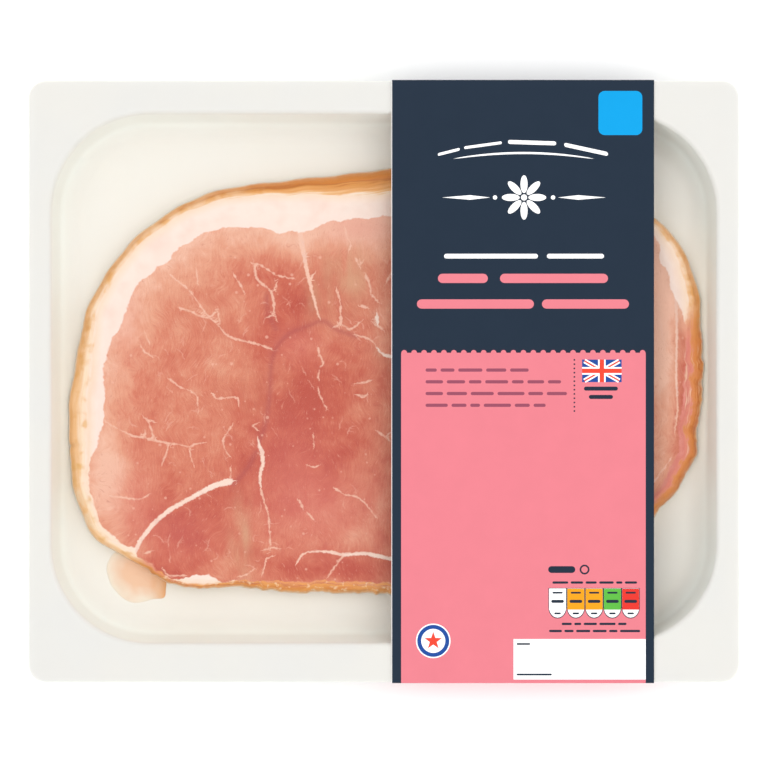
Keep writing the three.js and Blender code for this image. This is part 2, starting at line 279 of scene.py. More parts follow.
def mixed_noise(x, y, parts):
    """Soft noises added up, each: how strong it is, its size and its seed."""
    return sum(strength * soft_noise(x, y, size, seed) for strength, size, seed in parts)


def curve_through(points, steps, closed=False, power=0.5):
    """A smooth curve through the points, as steps places for each stretch between two of them.
    Power 0.5 suits points at uneven distances, and 0 suits evenly counted values."""
    points = np.asarray(points, dtype=float)
    if closed:
        padded = np.vstack([points[-1], points, points[0], points[1]])
    else:
        padded = np.vstack([2 * points[0] - points[1], points, 2 * points[-1] - points[-2]])
    share = np.linspace(0, 1, steps, endpoint=False)[:, None]
    spans = []
    for p0, p1, p2, p3 in zip(padded, padded[1:], padded[2:], padded[3:]):
        t0, t1, t2 = (max(np.linalg.norm(b - a), 1e-6) ** power for a, b in ((p0, p1), (p1, p2), (p2, p3)))
        start = ((p1 - p0) / t0 - (p2 - p0) / (t0 + t1) + (p2 - p1) / t1) * t1
        end = ((p2 - p1) / t1 - (p3 - p1) / (t1 + t2) + (p3 - p2) / t2) * t1
        cubic = 2 * share**3 - 3 * share**2
        spans.append(
            p1 * (1 + cubic)
            + start * (share**3 - 2 * share**2 + share)
            + end * (share**3 - share**2)
            - p2 * cubic
        )
    if not closed:
        spans.append(points[-1:])
    return np.vstack(spans)


def even_places(rows, count):
    """The rows of a closed line, each x, y and any other values, at even distances round it."""
    looped = np.vstack([rows, rows[:1]])
    lengths = np.concatenate([[0], np.cumsum(np.hypot(*np.diff(looped[:, :2], axis=0).T))])
    wanted = np.linspace(0, lengths[-1], count, endpoint=False)
    return np.stack([np.interp(wanted, lengths, column) for column in looped.T], axis=1)


# ---- Tray ----

CRISP_TURN = 50  # degrees: edges of the sheet and the film that turn by more stay crisp
CORNER_STEPS = 24
BEND_STEPS = 8
FILLET_STEPS = 14
RIM_ROLL = 2.2  # the last of the rim rolls down a little, and reads as a greyer border
RIM_ROLL_DROP = 0.14
RIM_ROLL_STEPS = 5
RIM_EDGE = 0.22  # rounding of the sheet's trimmed edge
RIM_EDGE_STEPS = 3
RIM_EDGE_LEAN = 0.05  # how far in the trimmed edge leans at its foot


def rounded_ring(half_x, half_y, radius, z, centre_y=0.0):
    ring = []
    for corner in range(4):
        start = corner * math.pi / 2
        x = (half_x - radius) * math.copysign(1, math.cos(start + math.pi / 4))
        y = (half_y - radius) * math.copysign(1, math.sin(start + math.pi / 4)) + centre_y
        for step in range(CORNER_STEPS + 1):
            angle = start + step / CORNER_STEPS * math.pi / 2
            ring.append((x + radius * math.cos(angle), y + radius * math.sin(angle), z))
    return ring


def skin_over(rings, top_point, bottom_point):
    """A closed skin from a point on top, out over the rings and back in to a point below."""
    count = len(rings[0])
    points = [top_point] + [place for ring in rings for place in ring] + [bottom_point]
    last = len(points) - 1
    lowest = 1 + (len(rings) - 1) * count
    faces = []
    for i in range(count):
        j = (i + 1) % count
        faces.append((0, 1 + i, 1 + j))
        for inner in range(1, lowest, count):
            faces.append((inner + i, inner + count + i, inner + count + j, inner + j))
        faces.append((last, lowest + j, lowest + i))
    return points, faces


def well_rings(into):
    section = []
    for step in range(BEND_STEPS + 1):
        angle = step / BEND_STEPS * WALL_SLOPE
        radius = RIM_BEND - into
        section.append((radius * math.sin(angle), RIM_HEIGHT - RIM_BEND + radius * math.cos(angle)))
    for step in range(FILLET_STEPS + 1):
        angle = (1 - step / FILLET_STEPS) * WALL_SLOPE
        radius = FLOOR_FILLET + into
        across = FLOOR_INSET - radius * math.sin(angle)
        section.append((across, FLOOR_TOP + FLOOR_FILLET - radius * math.cos(angle)))
    return [
        rounded_ring(WELL_LENGTH / 2 - inset, WELL_DEPTH / 2 - inset, WELL_CORNER - inset, z, WELL_SHIFT)
        for inset, z in section
    ]


def inset_at(x, y):
    """How far a place on the plan lies inside the crease round the well."""
    beyond_x = np.abs(x) - (WELL_LENGTH / 2 - WELL_CORNER)
    beyond_y = np.abs(y - WELL_SHIFT) - (WELL_DEPTH / 2 - WELL_CORNER)
    outside = np.hypot(np.maximum(beyond_x, 0), np.maximum(beyond_y, 0))
    return WELL_CORNER - outside - np.minimum(np.maximum(beyond_x, beyond_y), 0)


def rim_ring(inset, z):
    return rounded_ring(TRAY_HALF_X - inset, TRAY_HALF_Y - inset, RIM_CORNER - inset, z)


def make_tray(material):
    rings = well_rings(0)[::-1]
    top, bottom = RIM_HEIGHT - RIM_ROLL_DROP, RIM_HEIGHT - TRAY_SHEET
    for share in np.linspace(0, 1, RIM_ROLL_STEPS + 1):
        rolled = RIM_ROLL_DROP * (1 - math.cos(share * math.pi / 2))
        rings.append(rim_ring(RIM_ROLL - share * (RIM_ROLL - RIM_EDGE), RIM_HEIGHT - rolled))
    for angle in np.linspace(0, math.pi / 2, RIM_EDGE_STEPS + 1)[1:]:
        rings.append(rim_ring(RIM_EDGE * (1 - math.sin(angle)), top - RIM_EDGE * (1 - math.cos(angle))))
    rings.append(rim_ring(RIM_EDGE_LEAN, bottom))
    rings.append(rim_ring(RIM_EDGE, bottom))
    rings += well_rings(TRAY_SHEET)
    points, faces = skin_over(rings, (0, WELL_SHIFT, FLOOR_TOP), (0, WELL_SHIFT, TRAY_BASE))
    piece = make_piece("cream_tray", points, faces, [material], sharp=CRISP_TURN)
    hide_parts("tray")
    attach(piece, "root")


TRAY_FLOOR_CREAM = "e3e0d8"
TRAY_WALL_PAINTED_LIGHT = "f5f9f3"  # painted light: the walls are lighter still, to lift the shade and the meat's pink bounce in the well
TRAY_RIM_WHITE = "dad9d5"
TRAY_CLOUD_CREAM = "e6e0d2"
WALL_LIGHT_FROM = 0.1  # above the floor
WALL_LIGHT_TO = 3.5
POLYPROPYLENE_IOR = 1.49
SHEET_GRAIN = 0.35  # of the die that the sheet was drawn over
SHEET_GRAIN_DEPTH = 0.02
SHEET_CLOUD = 26.0
SHEET_ROUGHNESS = (0.36, 0.5)


def polypropylene_sheet():
    """Thermoformed polypropylene: a cream filled sheet, drawn over a fine matt die, so it has a
    broad soft gloss and a very fine grain. The floor of the well, and its walls still more, are
    lighter than the rim: painted light, which lifts the shade in the well and, on the walls, the
    meat's pink bounce. The rim is a cooler white."""
    material, tree, surface = start_material("polypropylene_sheet", IOR=POLYPROPYLENE_IOR)
    place = add_node(tree, "ShaderNodeNewGeometry").outputs["Position"]
    height = add_node(tree, "ShaderNodeSeparateXYZ", {0: place}).outputs["Z"]
    cloud = add_node(tree, "ShaderNodeTexNoise", {"Vector": place, "Scale": 1 / (SHEET_CLOUD * MM)})
    wall = ((FLOOR_TOP + WALL_LIGHT_FROM) * MM, (FLOOR_TOP + WALL_LIGHT_TO) * MM)
    rim = ((RIM_HEIGHT - RIM_BEND) * MM, RIM_HEIGHT * MM)
    # Painted light: the well's floor and walls are set lighter than the rim, to lift the shade in the well.
    colour = lay_over(tree, linear(TRAY_FLOOR_CREAM), [
        (height, *wall, 1, linear(TRAY_WALL_PAINTED_LIGHT)),
        (height, *rim, 1, linear(TRAY_RIM_WHITE)),
        (cloud.outputs["Fac"], 0.35, 0.75, 0.2, linear(TRAY_CLOUD_CREAM)),
    ])
    grain = add_node(
        tree, "ShaderNodeTexNoise", {"Vector": place, "Scale": 1 / (SHEET_GRAIN * MM), "Detail": 3.0}
    ).outputs["Fac"]
    low, high = SHEET_ROUGHNESS
    rough = add_node(tree, "ShaderNodeMapRange", {"Value": grain, "To Min": low, "To Max": high})
    bump = add_node(
        tree,
        "ShaderNodeBump",
        {"Height": grain, "Distance": SHEET_GRAIN_DEPTH * MM, "Strength": 0.5},
    )
    connect(tree, surface, {"Base Color": colour, "Roughness": rough, "Normal": bump})
    return material


# ---- Lid film ----

FILM_THICKNESS = 0.06
FILM_CELLS = (92, 78)
FILM_MARGIN = 0.3  # of bare rim outside it
FILM_LIFT = 0.1  # over the rim
FILM_SLACK = 0.22  # how far the film waves where nothing holds it
FILM_FREE = 22.0  # how far in from the well's crease it is wholly free
FILM_WAVES = [(1.0, 34, 5), (0.4, 13, 6)]
SEAL_RIPPLE = 0.05  # small ripples that run slantwise where the film leaves the seal
SEAL_RIPPLE_END = 9.0
SEAL_RIPPLE_TURN = 0.7  # radians a millimetre
FILM_IOR = 1.5
FILM_CLEARNESS = 0.995
FILM_ROUGHNESS = 0.07
FILM_RIPPLE = 9.0
FILM_RIPPLE_DEPTH = 0.15


def make_lid_film(material):
    """The film lies flat where it is sealed to the rim, and is a little slack over the well."""
    across, along = FILM_CELLS
    x, y = np.meshgrid(np.linspace(-1, 1, across + 1), np.linspace(-1, 1, along + 1), indexing="ij")
    # The square grid's corners are drawn in on to the rim's round corners.
    half_x, half_y = TRAY_HALF_X - FILM_MARGIN, TRAY_HALF_Y - FILM_MARGIN
    plan_x, plan_y = x * half_x, y * half_y
    beyond_x = np.abs(plan_x) - (half_x - RIM_CORNER)
    beyond_y = np.abs(plan_y) - (half_y - RIM_CORNER)
    in_corner = (beyond_x > 0) & (beyond_y > 0)
    largest = np.maximum(beyond_x, beyond_y)
    shrink = np.where(in_corner, largest / np.maximum(np.hypot(beyond_x, beyond_y), 1e-9), 1.0)
    plan_x = np.sign(plan_x) * np.where(in_corner, half_x - RIM_CORNER + beyond_x * shrink, np.abs(plan_x))
    plan_y = np.sign(plan_y) * np.where(in_corner, half_y - RIM_CORNER + beyond_y * shrink, np.abs(plan_y))
    inside = inset_at(plan_x, plan_y)
    free = soft_step(inside, 0, FILM_FREE)
    waves = mixed_noise(plan_x, plan_y, FILM_WAVES)
    height = RIM_HEIGHT + FILM_LIFT - FILM_SLACK * free * (1 + 0.7 * waves)
    ripples = soft_step(-inside, -SEAL_RIPPLE_END, 0) * soft_step(inside, -0.5, 3)
    height -= SEAL_RIPPLE * ripples * (1 + np.sin((plan_x - plan_y) * SEAL_RIPPLE_TURN))
    lower = np.stack([plan_x, plan_y, height], axis=-1).reshape(-1, 3)
    upper = lower + (0, 0, FILM_THICKNESS)
    rows = along + 1
    index = np.arange((across + 1) * rows).reshape(across + 1, rows)
    quads = net_quads(index)
    count = len(lower)
    border = [*index[:, 0], *index[-1, 1:], *index[-2::-1, -1], *index[0, -2:0:-1]]
    walls = [(a, b, b + count, a + count) for a, b in zip(border, border[1:] + border[:1])]
    faces = quads[:, ::-1].tolist() + (quads + count).tolist() + walls
    piece = make_piece("sealed_film", np.vstack([lower, upper]), faces, [material], sharp=CRISP_TURN)
    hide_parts("lid_film")
    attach(piece, "root")


def clear_peel_film():
    """Cast polyester lid film, clear and glossy: it shows only by what its surface mirrors, more
    towards a low angle, broken up a little by its slack."""
    material = bpy.data.materials.new("clear_peel_film")
    material.use_nodes = True
    tree = material.node_tree
    tree.nodes.remove(tree.nodes["Principled BSDF"])
    place = add_node(tree, "ShaderNodeNewGeometry").outputs["Position"]
    ripple = add_node(
        tree, "ShaderNodeTexNoise", {"Vector": place, "Scale": 1 / (FILM_RIPPLE * MM), "Detail": 2.0}
    )
    bump = add_node(
        tree,
        "ShaderNodeBump",
        {"Height": ripple.outputs["Fac"], "Distance": FILM_RIPPLE_DEPTH * MM, "Strength": 0.4},
    )
    clear = add_node(tree, "ShaderNodeBsdfTransparent", {"Color": (*[FILM_CLEARNESS] * 3, 1)})
    gloss = add_node(tree, "ShaderNodeBsdfAnisotropic", {"Roughness": FILM_ROUGHNESS, "Normal": bump})
    # Only the side that faces the light mirrors it: the ray isn't bent inside so thin a sheet.
    inside = add_node(tree, "ShaderNodeNewGeometry").outputs["Backfacing"]
    outside = add_node(tree, "ShaderNodeMath", {0: 1.0, 1: inside}, operation="SUBTRACT")
    one_face = add_node(tree, "ShaderNodeFresnel", {"IOR": FILM_IOR, "Normal": bump})
    mirror = add_node(tree, "ShaderNodeMath", {0: one_face, 1: outside}, operation="MULTIPLY")
    both = add_node(tree, "ShaderNodeMixShader", {0: mirror, 1: clear, 2: gloss})
    connect(tree, tree.nodes["Material Output"], {"Surface": both})
    return material


# ---- Gammon steak: its outline and the lines on its cut face ----

STEAK_CENTRE = np.array([1.0, -4.4])

# Counter-clockwise from the right-hand end: x, y, the width of the slanting side as seen from
# above, the width of the fat inside it, how far in the rind's colour goes, how smoked it is, and
# how streaky.
STEAK_EDGE = [
    [103.6, 8, 4.0, 1.5, 6.4, 0.6, 1.0],
    [102.4, 29, 3.8, 4.5, 4.4, 0.45, 0.05],
    [93.4, 48.9, 1.6, 5.5, 3.2, 0.35, 0.0],
    [70, 60.6, 2.0, 6.0, 3.4, 0.5, 0.0],
    [44, 67.6, 2.4, 6.5, 6.4, 1.0, 0.0],
    [15, 70.0, 3.0, 7.0, 9.0, 1.4, 0.0],
    [-8, 68.2, 3.6, 7.0, 7.6, 1.4, 0.0],
    [-30, 65.6, 4.2, 9.0, 5.4, 1.1, 0.0],
    [-49, 63.4, 4.0, 8.0, 4.2, 0.8, 0.0],
    [-67, 57.0, 2.6, 8.0, 3.4, 0.5, 0.0],
    [-83.5, 44.2, 2.4, 7.5, 3.2, 0.4, 0.0],
    [-95.2, 26.9, 3.0, 8.0, 3.6, 0.3, 0.0],
    [-100.9, 4, 5.2, 5.0, 5.8, 0.1, 0.0],
    [-102.7, -17, 6.4, 3.6, 6.2, 0.1, 0.0],
    [-100.4, -37, 3.8, 2.2, 4.8, -0.16, 0.0],
    [-94, -51.4, 2.8, 2.0, 4.0, -0.08, 0.0],
    [-84.6, -56.6, 2.0, 2.0, 3.0, 0.1, 0.0],
    [-76.6, -62.2, 1.8, 1.0, 3.0, 0.7, 0.6],
    [-66, -66.8, 1.8, 1.5, 2.0, 0.9, 0.3],
    [-47, -67.2, 2.0, 1.5, 3.2, 1.1, 0.3],
    [-30, -68.8, 2.2, 1.0, 4.4, 1.4, 0.35],
    [1, -69, 2.2, 1.0, 4.2, 0.6, 0.4],
    [32, -67.4, 2.2, 1.0, 3.4, 0.7, 0.6],
    [63.5, -59.4, 2.4, 1.5, 3.0, 0.8, 0.6],
    [88.6, -44.2, 3.0, 2.0, 5.5, 1.2, 0.7],
    [100.3, -26, 3.4, 1.5, 6.4, 1.0, 0.85],
    [103.4, -9, 3.6, 1.0, 6.6, 0.65, 1.0],
]

# Where the white fat ends and the lean begins, counter-clockwise.
LEAN_EDGE = [
    (94.4, 29.5), (94, 32), (93.5, 33.8), (91.9, 37.4), (90, 38.8), (89.4, 44.6), (86.5, 50.5),
    (70, 54.5), (44, 59), (18, 60.5), (2.3, 54.4), (-2.1, 54.2), (-6.4, 53.6), (-12.9, 52.9),
    (-21.6, 50.7), (-26, 48.6), (-29.6, 48.9), (-34.2, 49), (-36.7, 49.8), (-42.4, 50.7),
    (-49.2, 50.4), (-56.3, 49.1), (-60.5, 48), (-63.4, 45.7), (-68.7, 42.4), (-71, 39.7),
    (-75.4, 36.4), (-79.3, 32.6), (-83.3, 25.9), (-86.3, 19.3), (-89.6, 10.3), (-91.2, 4.4),
    (-91.6, -6), (-92, -14), (-92.7, -19.2), (-94, -22), (-95.6, -25), (-95.8, -30.7),
    (-95.3, -36.5), (-93.3, -44.1), (-89.9, -49.3), (-85.2, -52.9), (-81.6, -55),
    (-79.5, -58.6), (-75.8, -61.9), (-70.9, -64.4), (-66, -65), (-63.5, -64),
    (-57.5, -63.8), (-55, -64.2), (-53.4, -65), (-45.5, -66.2), (-30, -67.4), (-14.5, -67.6), (2.3, -67.8),
    (32, -66.2), (62, -58.8), (84.5, -46.6), (93.5, -35.5), (99.5, -20), (101.3, 0), (100.9, 12),
    (98.9, 20), (96.8, 25), (95.3, 27.4),
]

# The thick seams of fat between the muscles: half widths at start and end, places, and how
# white they are.
SEAMS = [
    (0.85, 0.28, [(-27.6, 50.4), (-26.5, 43.6), (-24.6, 34.5), (-22.8, 27), (-21.0, 20.9)], 0.15),
    (0.45, 0.1, [(-25.9, 40.4), (-24.9, 41.6)], 0.15),
    (0.45, 0.1, [(-23.8, 33.6), (-22.4, 35.3)], 0.15),
    (0.65, 0.7, [(-80.8, -55.2), (-79.3, -52), (-77.7, -49.9), (-75.1, -46.5), (-71.5, -43.2),
                 (-68, -40.8), (-64.7, -39), (-61.5, -37.2)], 0.7),
    (0.7, 1.0, [(-61.5, -37.2), (-58.3, -35.5), (-54, -33.5), (-49.9, -32.5)], 0.85),
    (0.25, 0.75, [(-40.9, -18.9), (-40.4, -20.8), (-39.6, -23.2)], 0.8),
    (0.7, 0.3, [(-39.6, -23.2), (-39.3, -26.4), (-40.2, -30.3), (-40.1, -33.8)], 0.6),
    (0.3, 0.2, [(-28.1, -58.8), (-26.8, -56.6), (-24.9, -55.5)], 0.3),
    (0.2, 0.55, [(-24.9, -55.5), (-22, -55.2), (-17.1, -55.5), (-12.9, -56.4)], 0.5),
    (0.5, 0.95, [(-12.9, -56.4), (-6.4, -55.9), (-1.9, -56.7), (2.6, -57.6), (22, -57),
                 (44, -52)], 0.85),
    (0.45, 0.3, [(94.8, 28), (95.1, 22), (95.2, 14), (95, 4), (95.3, -5)], 0.3),
    (0.3, 0.2, [(95.3, -5), (95.4, -9.2), (94.6, -16)], 0.0),
    (0.2, 0.9, [(-1.9, 10.5), (0, 8.7), (2.6, 8.2), (6, 9)], 1.0),
    (0.5, 0.35, [(-2.3, 20.9), (-2, 19.1)], 1.0),
]

# Thin veins of fat, each: half width, places.
VEINS = [
    (0.3, [(-40.1, -33.8), (-39.6, -36.8), (-37.8, -42.3), (-37.2, -48.1), (-37, -51.7)]),
    (0.3, [(-37, -50.5), (-37, -53.9), (-39.1, -54.7)]),
    (0.3, [(-37, -53.9), (-34.3, -54.3)]),
    (0.3, [(-12.9, -56.5), (-14.9, -58.8), (-16.8, -61.4), (-18.1, -63.3)]),
    (0.28, [(-36.2, -56.8), (-38.2, -57.8), (-38.8, -60.4), (-39.5, -62.7)]),
    (0.3, [(-42.7, -61.4), (-44.6, -62.7), (-46.6, -63.3)]),
    (0.26, [(-68.9, 34.2), (-66, 31.9), (-63.1, 29.6), (-60.2, 25.4), (-57.3, 21.5), (-54.4, 18.9),
            (-51.6, 15.4)]),
    (0.36, [(-51.6, 15.4), (-48.9, 14.1), (-45, 13.1), (-40.8, 12.1), (-36.6, 10.5)]),
    (0.34, [(-66, 23.8), (-62.8, 22.8), (-59.5, 21.2), (-56.6, 20.6)]),
    (0.26, [(-56, 21.2), (-54, 23.2), (-53.7, 22.2)]),
    (0.26, [(-54, 23.2), (-53.1, 18)]),
    (0.26, [(-42.7, 38.4), (-40.8, 38.1), (-38.8, 37.1), (-36.9, 35.8), (-34.9, 34.5)]),
    (0.36, [(-42.1, 38.1), (-41.1, 33.2), (-38.5, 30.9), (-36.6, 29.3)]),
    (0.44, [(-36.6, 29.3), (-35.9, 26.4), (-35.6, 21.9)]),
    (0.34, [(-35.4, 30.5), (-34.8, 31.8)]),
    (0.3, [(-34, 34.3), (-31.4, 33.8), (-29.1, 33.4)]),
    (0.36, [(-37.6, 21), (-35.6, 21.5), (-34.9, 20.4)]),
    (0.26, [(-48.6, 34.6), (-46.2, 30.6), (-45.4, 29)]),
    (0.24, [(-91.7, -11.5), (-89.3, -13.8), (-86.8, -15.1), (-84.2, -16.4), (-81.7, -17.7)]),
    (0.3, [(-81.7, -17.7), (-78, -18.3), (-74.8, -19.1), (-72.2, -19.6), (-69.6, -20.1),
           (-66, -20.6), (-63.4, -21.4)]),
    (0.28, [(-69.8, -20.2), (-70.6, -23.2), (-72, -26.4)]),
    (0.3, [(-74.8, -18.9), (-75.7, -15.1), (-76.7, -12.8), (-78.7, -10.9)]),
    (0.26, [(-63.4, -21.4), (-62.8, -24.1), (-61.8, -27)]),
    (0.24, [(-63.4, -21.4), (-60.8, -20.2), (-58.6, -19.9)]),
    (0.34, [(-76.7, -12.5), (-74.8, -13.0)]),
    (0.3, [(-77.6, -17), (-77.2, -18.4)]),
    (0.26, [(-49.5, -14.4), (-51.1, -17), (-52.1, -18.9), (-51.8, -21.9), (-50.2, -24.1)]),
    (0.24, [(-49.8, -28.3), (-49.8, -31.9)]),
    (0.28, [(-69.3, 0.5), (-66, -1.8), (-63.4, -2.8), (-60.8, -4.7), (-60.5, -6.4)]),
    (0.26, [(-60.5, -6.4), (-60.2, -9.6)]),
    (0.3, [(-55.3, -4.4), (-54.4, -5.5), (-51.1, -5.3), (-47.6, -5.3), (-47.2, -7)]),
    (0.26, [(-88.7, -37.2), (-84.8, -37.6), (-81.6, -38.1), (-78.7, -38.1), (-76.4, -36.8)]),
    (0.3, [(-15.3, 29.6), (-14.5, 27), (-14, 24.5)]),
    (0.4, [(-14, 24.5), (-14.2, 22), (-13.9, 19.6)]),
    (0.3, [(-16.1, 17.7), (-14.2, 18.4), (-12.9, 18), (-11, 17), (-9, 18), (-7.4, 19.6)]),
    (0.42, [(-13.7, 20.4), (-14.2, 18.4)]),
    (0.26, [(-10.6, 44.9), (-11.3, 42.6)]),
    (0.24, [(-12.6, 49.8), (-11.9, 46.9), (-10.6, 44.9)]),
    (0.42, [(-5.8, 34.5), (-4.5, 30.9), (-4.2, 29.3)]),
    (0.3, [(-9, 39.7), (-8, 37.4)]),
    (0.26, [(-6.9, 38.9), (-8, 37.4)]),
    (0.46, [(-3.6, 27.8), (-2.3, 26.4)]),
    (0.36, [(-7.1, 24.4), (-5.8, 24.1)]),
    (0.66, [(-2.4, 20.6), (-2, 19.2)]),
    (0.3, [(-2.2, 22.3), (-2, 18)]),
    (0.28, [(-3.6, 19.2), (-0.2, 16.8)]),
    (0.3, [(2.3, 35.1), (0.7, 31.9)]),
    (0.26, [(-9, 15), (-6.4, 14.4), (-3.8, 13.1), (-1.9, 10.5)]),
    (0.26, [(-21.3, 10.5), (-20.7, 8.3), (-19.7, 6), (-21, 4), (-21.3, 1.1)]),
    (0.24, [(-21.3, -2.8), (-20.4, -5.3), (-18.7, -8.6)]),
    (0.4, [(-8.7, -0.6), (-6.8, -0.4), (-4.2, 0.2)]),
    (0.34, [(-8.2, -4.6), (-6.6, -5.2), (-5.8, -4.5)]),
    (0.3, [(-1.9, -16.4), (0.7, -17.9), (2, -16.7)]),
    (0.3, [(0.7, -17.7), (1.7, -18.9)]),
    (0.26, [(-12.6, -36.8), (-9, -37.4), (-6.8, -39), (-4.5, -41.6), (-2.9, -43.6)]),
    (0.4, [(-27.5, -39), (-26.4, -40.8)]),
    (0.28, [(-24.2, -43.2), (-22.9, -44.9)]),
    (0.26, [(-24.6, -27.4), (-22, -27.9), (-21.3, -27.4)]),
    (0.24, [(-22.9, -17.6), (-22.7, -20.9)]),
    (0.4, [(-15.4, -35), (-13.9, -36)]),
    (0.3, [(-41.5, -15.4), (-42.6, -14.5), (-41, -13.6)]),
    (0.24, [(-77.4, 15.7), (-76.4, 12.8)]),
    (0.24, [(-79, 11.5), (-77.6, 9.6), (-75.7, 8.3)]),
    (0.3, [(-75.7, -55.2), (-77, -55.6)]),
    (0.34, [(-71.5, -61.4), (-70.2, -62.8), (-67.3, -63.1), (-64.7, -63)]),
    (0.24, [(-60.8, 36.1), (-60.5, 31.9)]),
    (0.26, [(87.8, -32.6), (90.4, -29), (92.4, -26.4), (93.3, -25.1)]),
    (0.26, [(90, 20), (90.6, 14)]),
]

# Dark creases where two muscles meet without fat between them.
CREASES = [
    [(-21, 19.6), (-25.5, 17.7), (-30.4, 15.7), (-34.3, 11.8), (-36.2, 7.6), (-36.9, -1.1),
     (-37.2, -6), (-38.5, -14.1), (-40.6, -19.6)],
    [(-21, 19.6), (-18.7, 19.3), (-16.1, 17.2), (-12.6, 15.9), (-9, 14.6)],
    [(-49, -33.4), (-45.9, -30.3), (-43.4, -26.7), (-41.5, -23)],
    [(-38, 28), (-37.4, 22), (-35, 17)],
]

# Deeper and paler places on the lean: x, y, reach along x and along y, change of tone. The two at x = 0 and
# x = 90, just beside the sleeve's edges, are painted light that lifts the sleeve's shade.
LEAN_TONES_AND_PAINTED_LIGHT = [
    (-27, -17, 17, 22, -0.38), (-16, 1, 8, 8, -0.1), (-29, 26, 8, 9, -0.30), (-37, 14, 8, 6, -0.26),
    (-65, 8, 9, 9, -0.05), (-67, -48, 15, 10, -0.36), (-52, -37, 8, 6, -0.2), (-50, -54, 7, 8, -0.1),
    (-16, -61, 26, 4.5, -0.4), (-44, -27, 3.5, 5, -0.2), (-34, 37, 9, 8, -0.12), (-58, 5, 14, 16, 0.1),
    (-8, 49, 14, 7, 0.36), (0, 24, 6, 14, 0.06), (-50, -58, 4.5, 4, 0.12), (-89, -34, 6, 14, 0.5),
    (-16, -46, 16, 9, 0.1), (90, 8, 5, 28, 0.62), (-30, 44, 8, 4, 0.15), (-60, 37, 9, 6, 0.1),
    (-84, 9, 4, 5, 0.1), (-23, 11, 6, 5, 0.14), (-19, 27, 5, 8, -0.12), (-39, 24, 5, 8, -0.12),
    (-69, -23, 6, 6, -0.14), (-80, -43, 6, 6, 0.12), (-35, -44, 5, 9, -0.12), (-62, 31, 7, 4, 0.05),
    (-77, -30, 10, 8, 0.06), (0, -10, 4, 70, 0.06), (97.5, -4, 2.4, 24, -0.3), (92, -34, 6, 8, 0.1),
    (-70, -62, 9, 3, -0.3), (-17, 38, 6, 9, -0.08),
]

# Places where light on the fibres gives the lean an olive cast: x, y, reaches, strength.
OLIVE_SHEEN = [(-14, 34, 7, 12, 0.6), (-46, -51, 4, 12, 0.75), (-8, 38, 6, 12, 0.3), (-23, 27, 3, 8, 0.3),
               (-44, -2, 16, 10, 0.12), (-60, 24, 10, 10, 0.1)]

# Places that are rosier than the rest.
ROSY = [(-20, -42, 22, 14, 0.5), (-82, -40, 8, 14, 0.4), (-8, 50, 12, 6, 0.45), (-28, 12, 8, 6, 0.4),
        (-66, -50, 12, 10, 0.35), (-84, 18, 5, 16, 0.25), (-30, -25, 12, 16, 0.3)]

# The muscles that bulge a little, each: x, y, reach.
MUSCLES = [(6, -14, 42), (-64, 4, 34), (-2, 40, 26), (60, 12, 36), (-60, -54, 22)]


def blobs(x, y, places):
    total = np.zeros_like(x)
    for middle_x, middle_y, reach_x, reach_y, amount in places:
        total += amount * np.exp(-(((x - middle_x) / reach_x) ** 2 + ((y - middle_y) / reach_y) ** 2))
    return total


FAR = 1e3


def offsets_from(x, y, line, reach=None):
    """Signed distance of each place from a line, positive on its left, and how far along the
    line, from 0 to 1, the nearest point is. Beyond reach the distance is left at FAR."""
    nearest = np.full(x.shape, FAR)
    along = np.zeros(x.shape)
    steps = np.hypot(*np.diff(line, axis=0).T)
    ends = np.concatenate([[0], np.cumsum(steps)]) / steps.sum()
    for (ax, ay), (bx, by), start, end in zip(line, line[1:], ends, ends[1:]):
        dx, dy = bx - ax, by - ay
        if reach is None:
            near = np.arange(len(x))
        else:
            close_x = (x > min(ax, bx) - reach) & (x < max(ax, bx) + reach)
            close_y = (y > min(ay, by) - reach) & (y < max(ay, by) + reach)
            near = np.nonzero(close_x & close_y)[0]
        px, py = x[near] - ax, y[near] - ay
        share = np.clip((px * dx + py * dy) / (dx * dx + dy * dy + 1e-12), 0, 1)
        distance = np.hypot(px - share * dx, py - share * dy)
        side = np.where(dx * py - dy * px < 0, -1.0, 1.0)
        closer = distance < np.abs(nearest[near])
        chosen = near[closer]
        nearest[chosen] = (side * distance)[closer]
        along[chosen] = (start + (end - start) * share)[closer]
    return nearest, along


LINE_REACH = 2.4
FADE_FROM, FADE_TO = 0.8, 1.7
NO_LINE = -0.6  # the half width where no line is near
MOST_OFFSET = 9
LINE_STEPS = 5


def line_fields(x, y, lines):
    """For the nearest of the lines at each place: the signed distance from it, and its half
    width there, which turns negative away from the line."""
    offset = np.full(x.shape, FAR)
    half = np.full(x.shape, NO_LINE)
    clearance = np.full(x.shape, FAR)
    for start_half, end_half, places in lines:
        line = curve_through(places, LINE_STEPS)
        distance, along = offsets_from(x, y, line, LINE_REACH)
        width = start_half + (end_half - start_half) * along
        closer = np.abs(distance) - width < clearance
        clearance[closer] = (np.abs(distance) - width)[closer]
        offset[closer] = distance[closer]
        half[closer] = width[closer]
    fade = soft_step(clearance, FADE_FROM, FADE_TO)
    return np.clip(offset, -MOST_OFFSET, MOST_OFFSET), half * (1 - fade) + NO_LINE * fade


STRAY_VEINS = 330
STRAY_SEED = 11
STRAY_X, STRAY_Y = (-94, 98), (-62, 56)
STRAY_LENGTH = (1.0, 4.0)
STRAY_HALF = (0.05, 0.2)


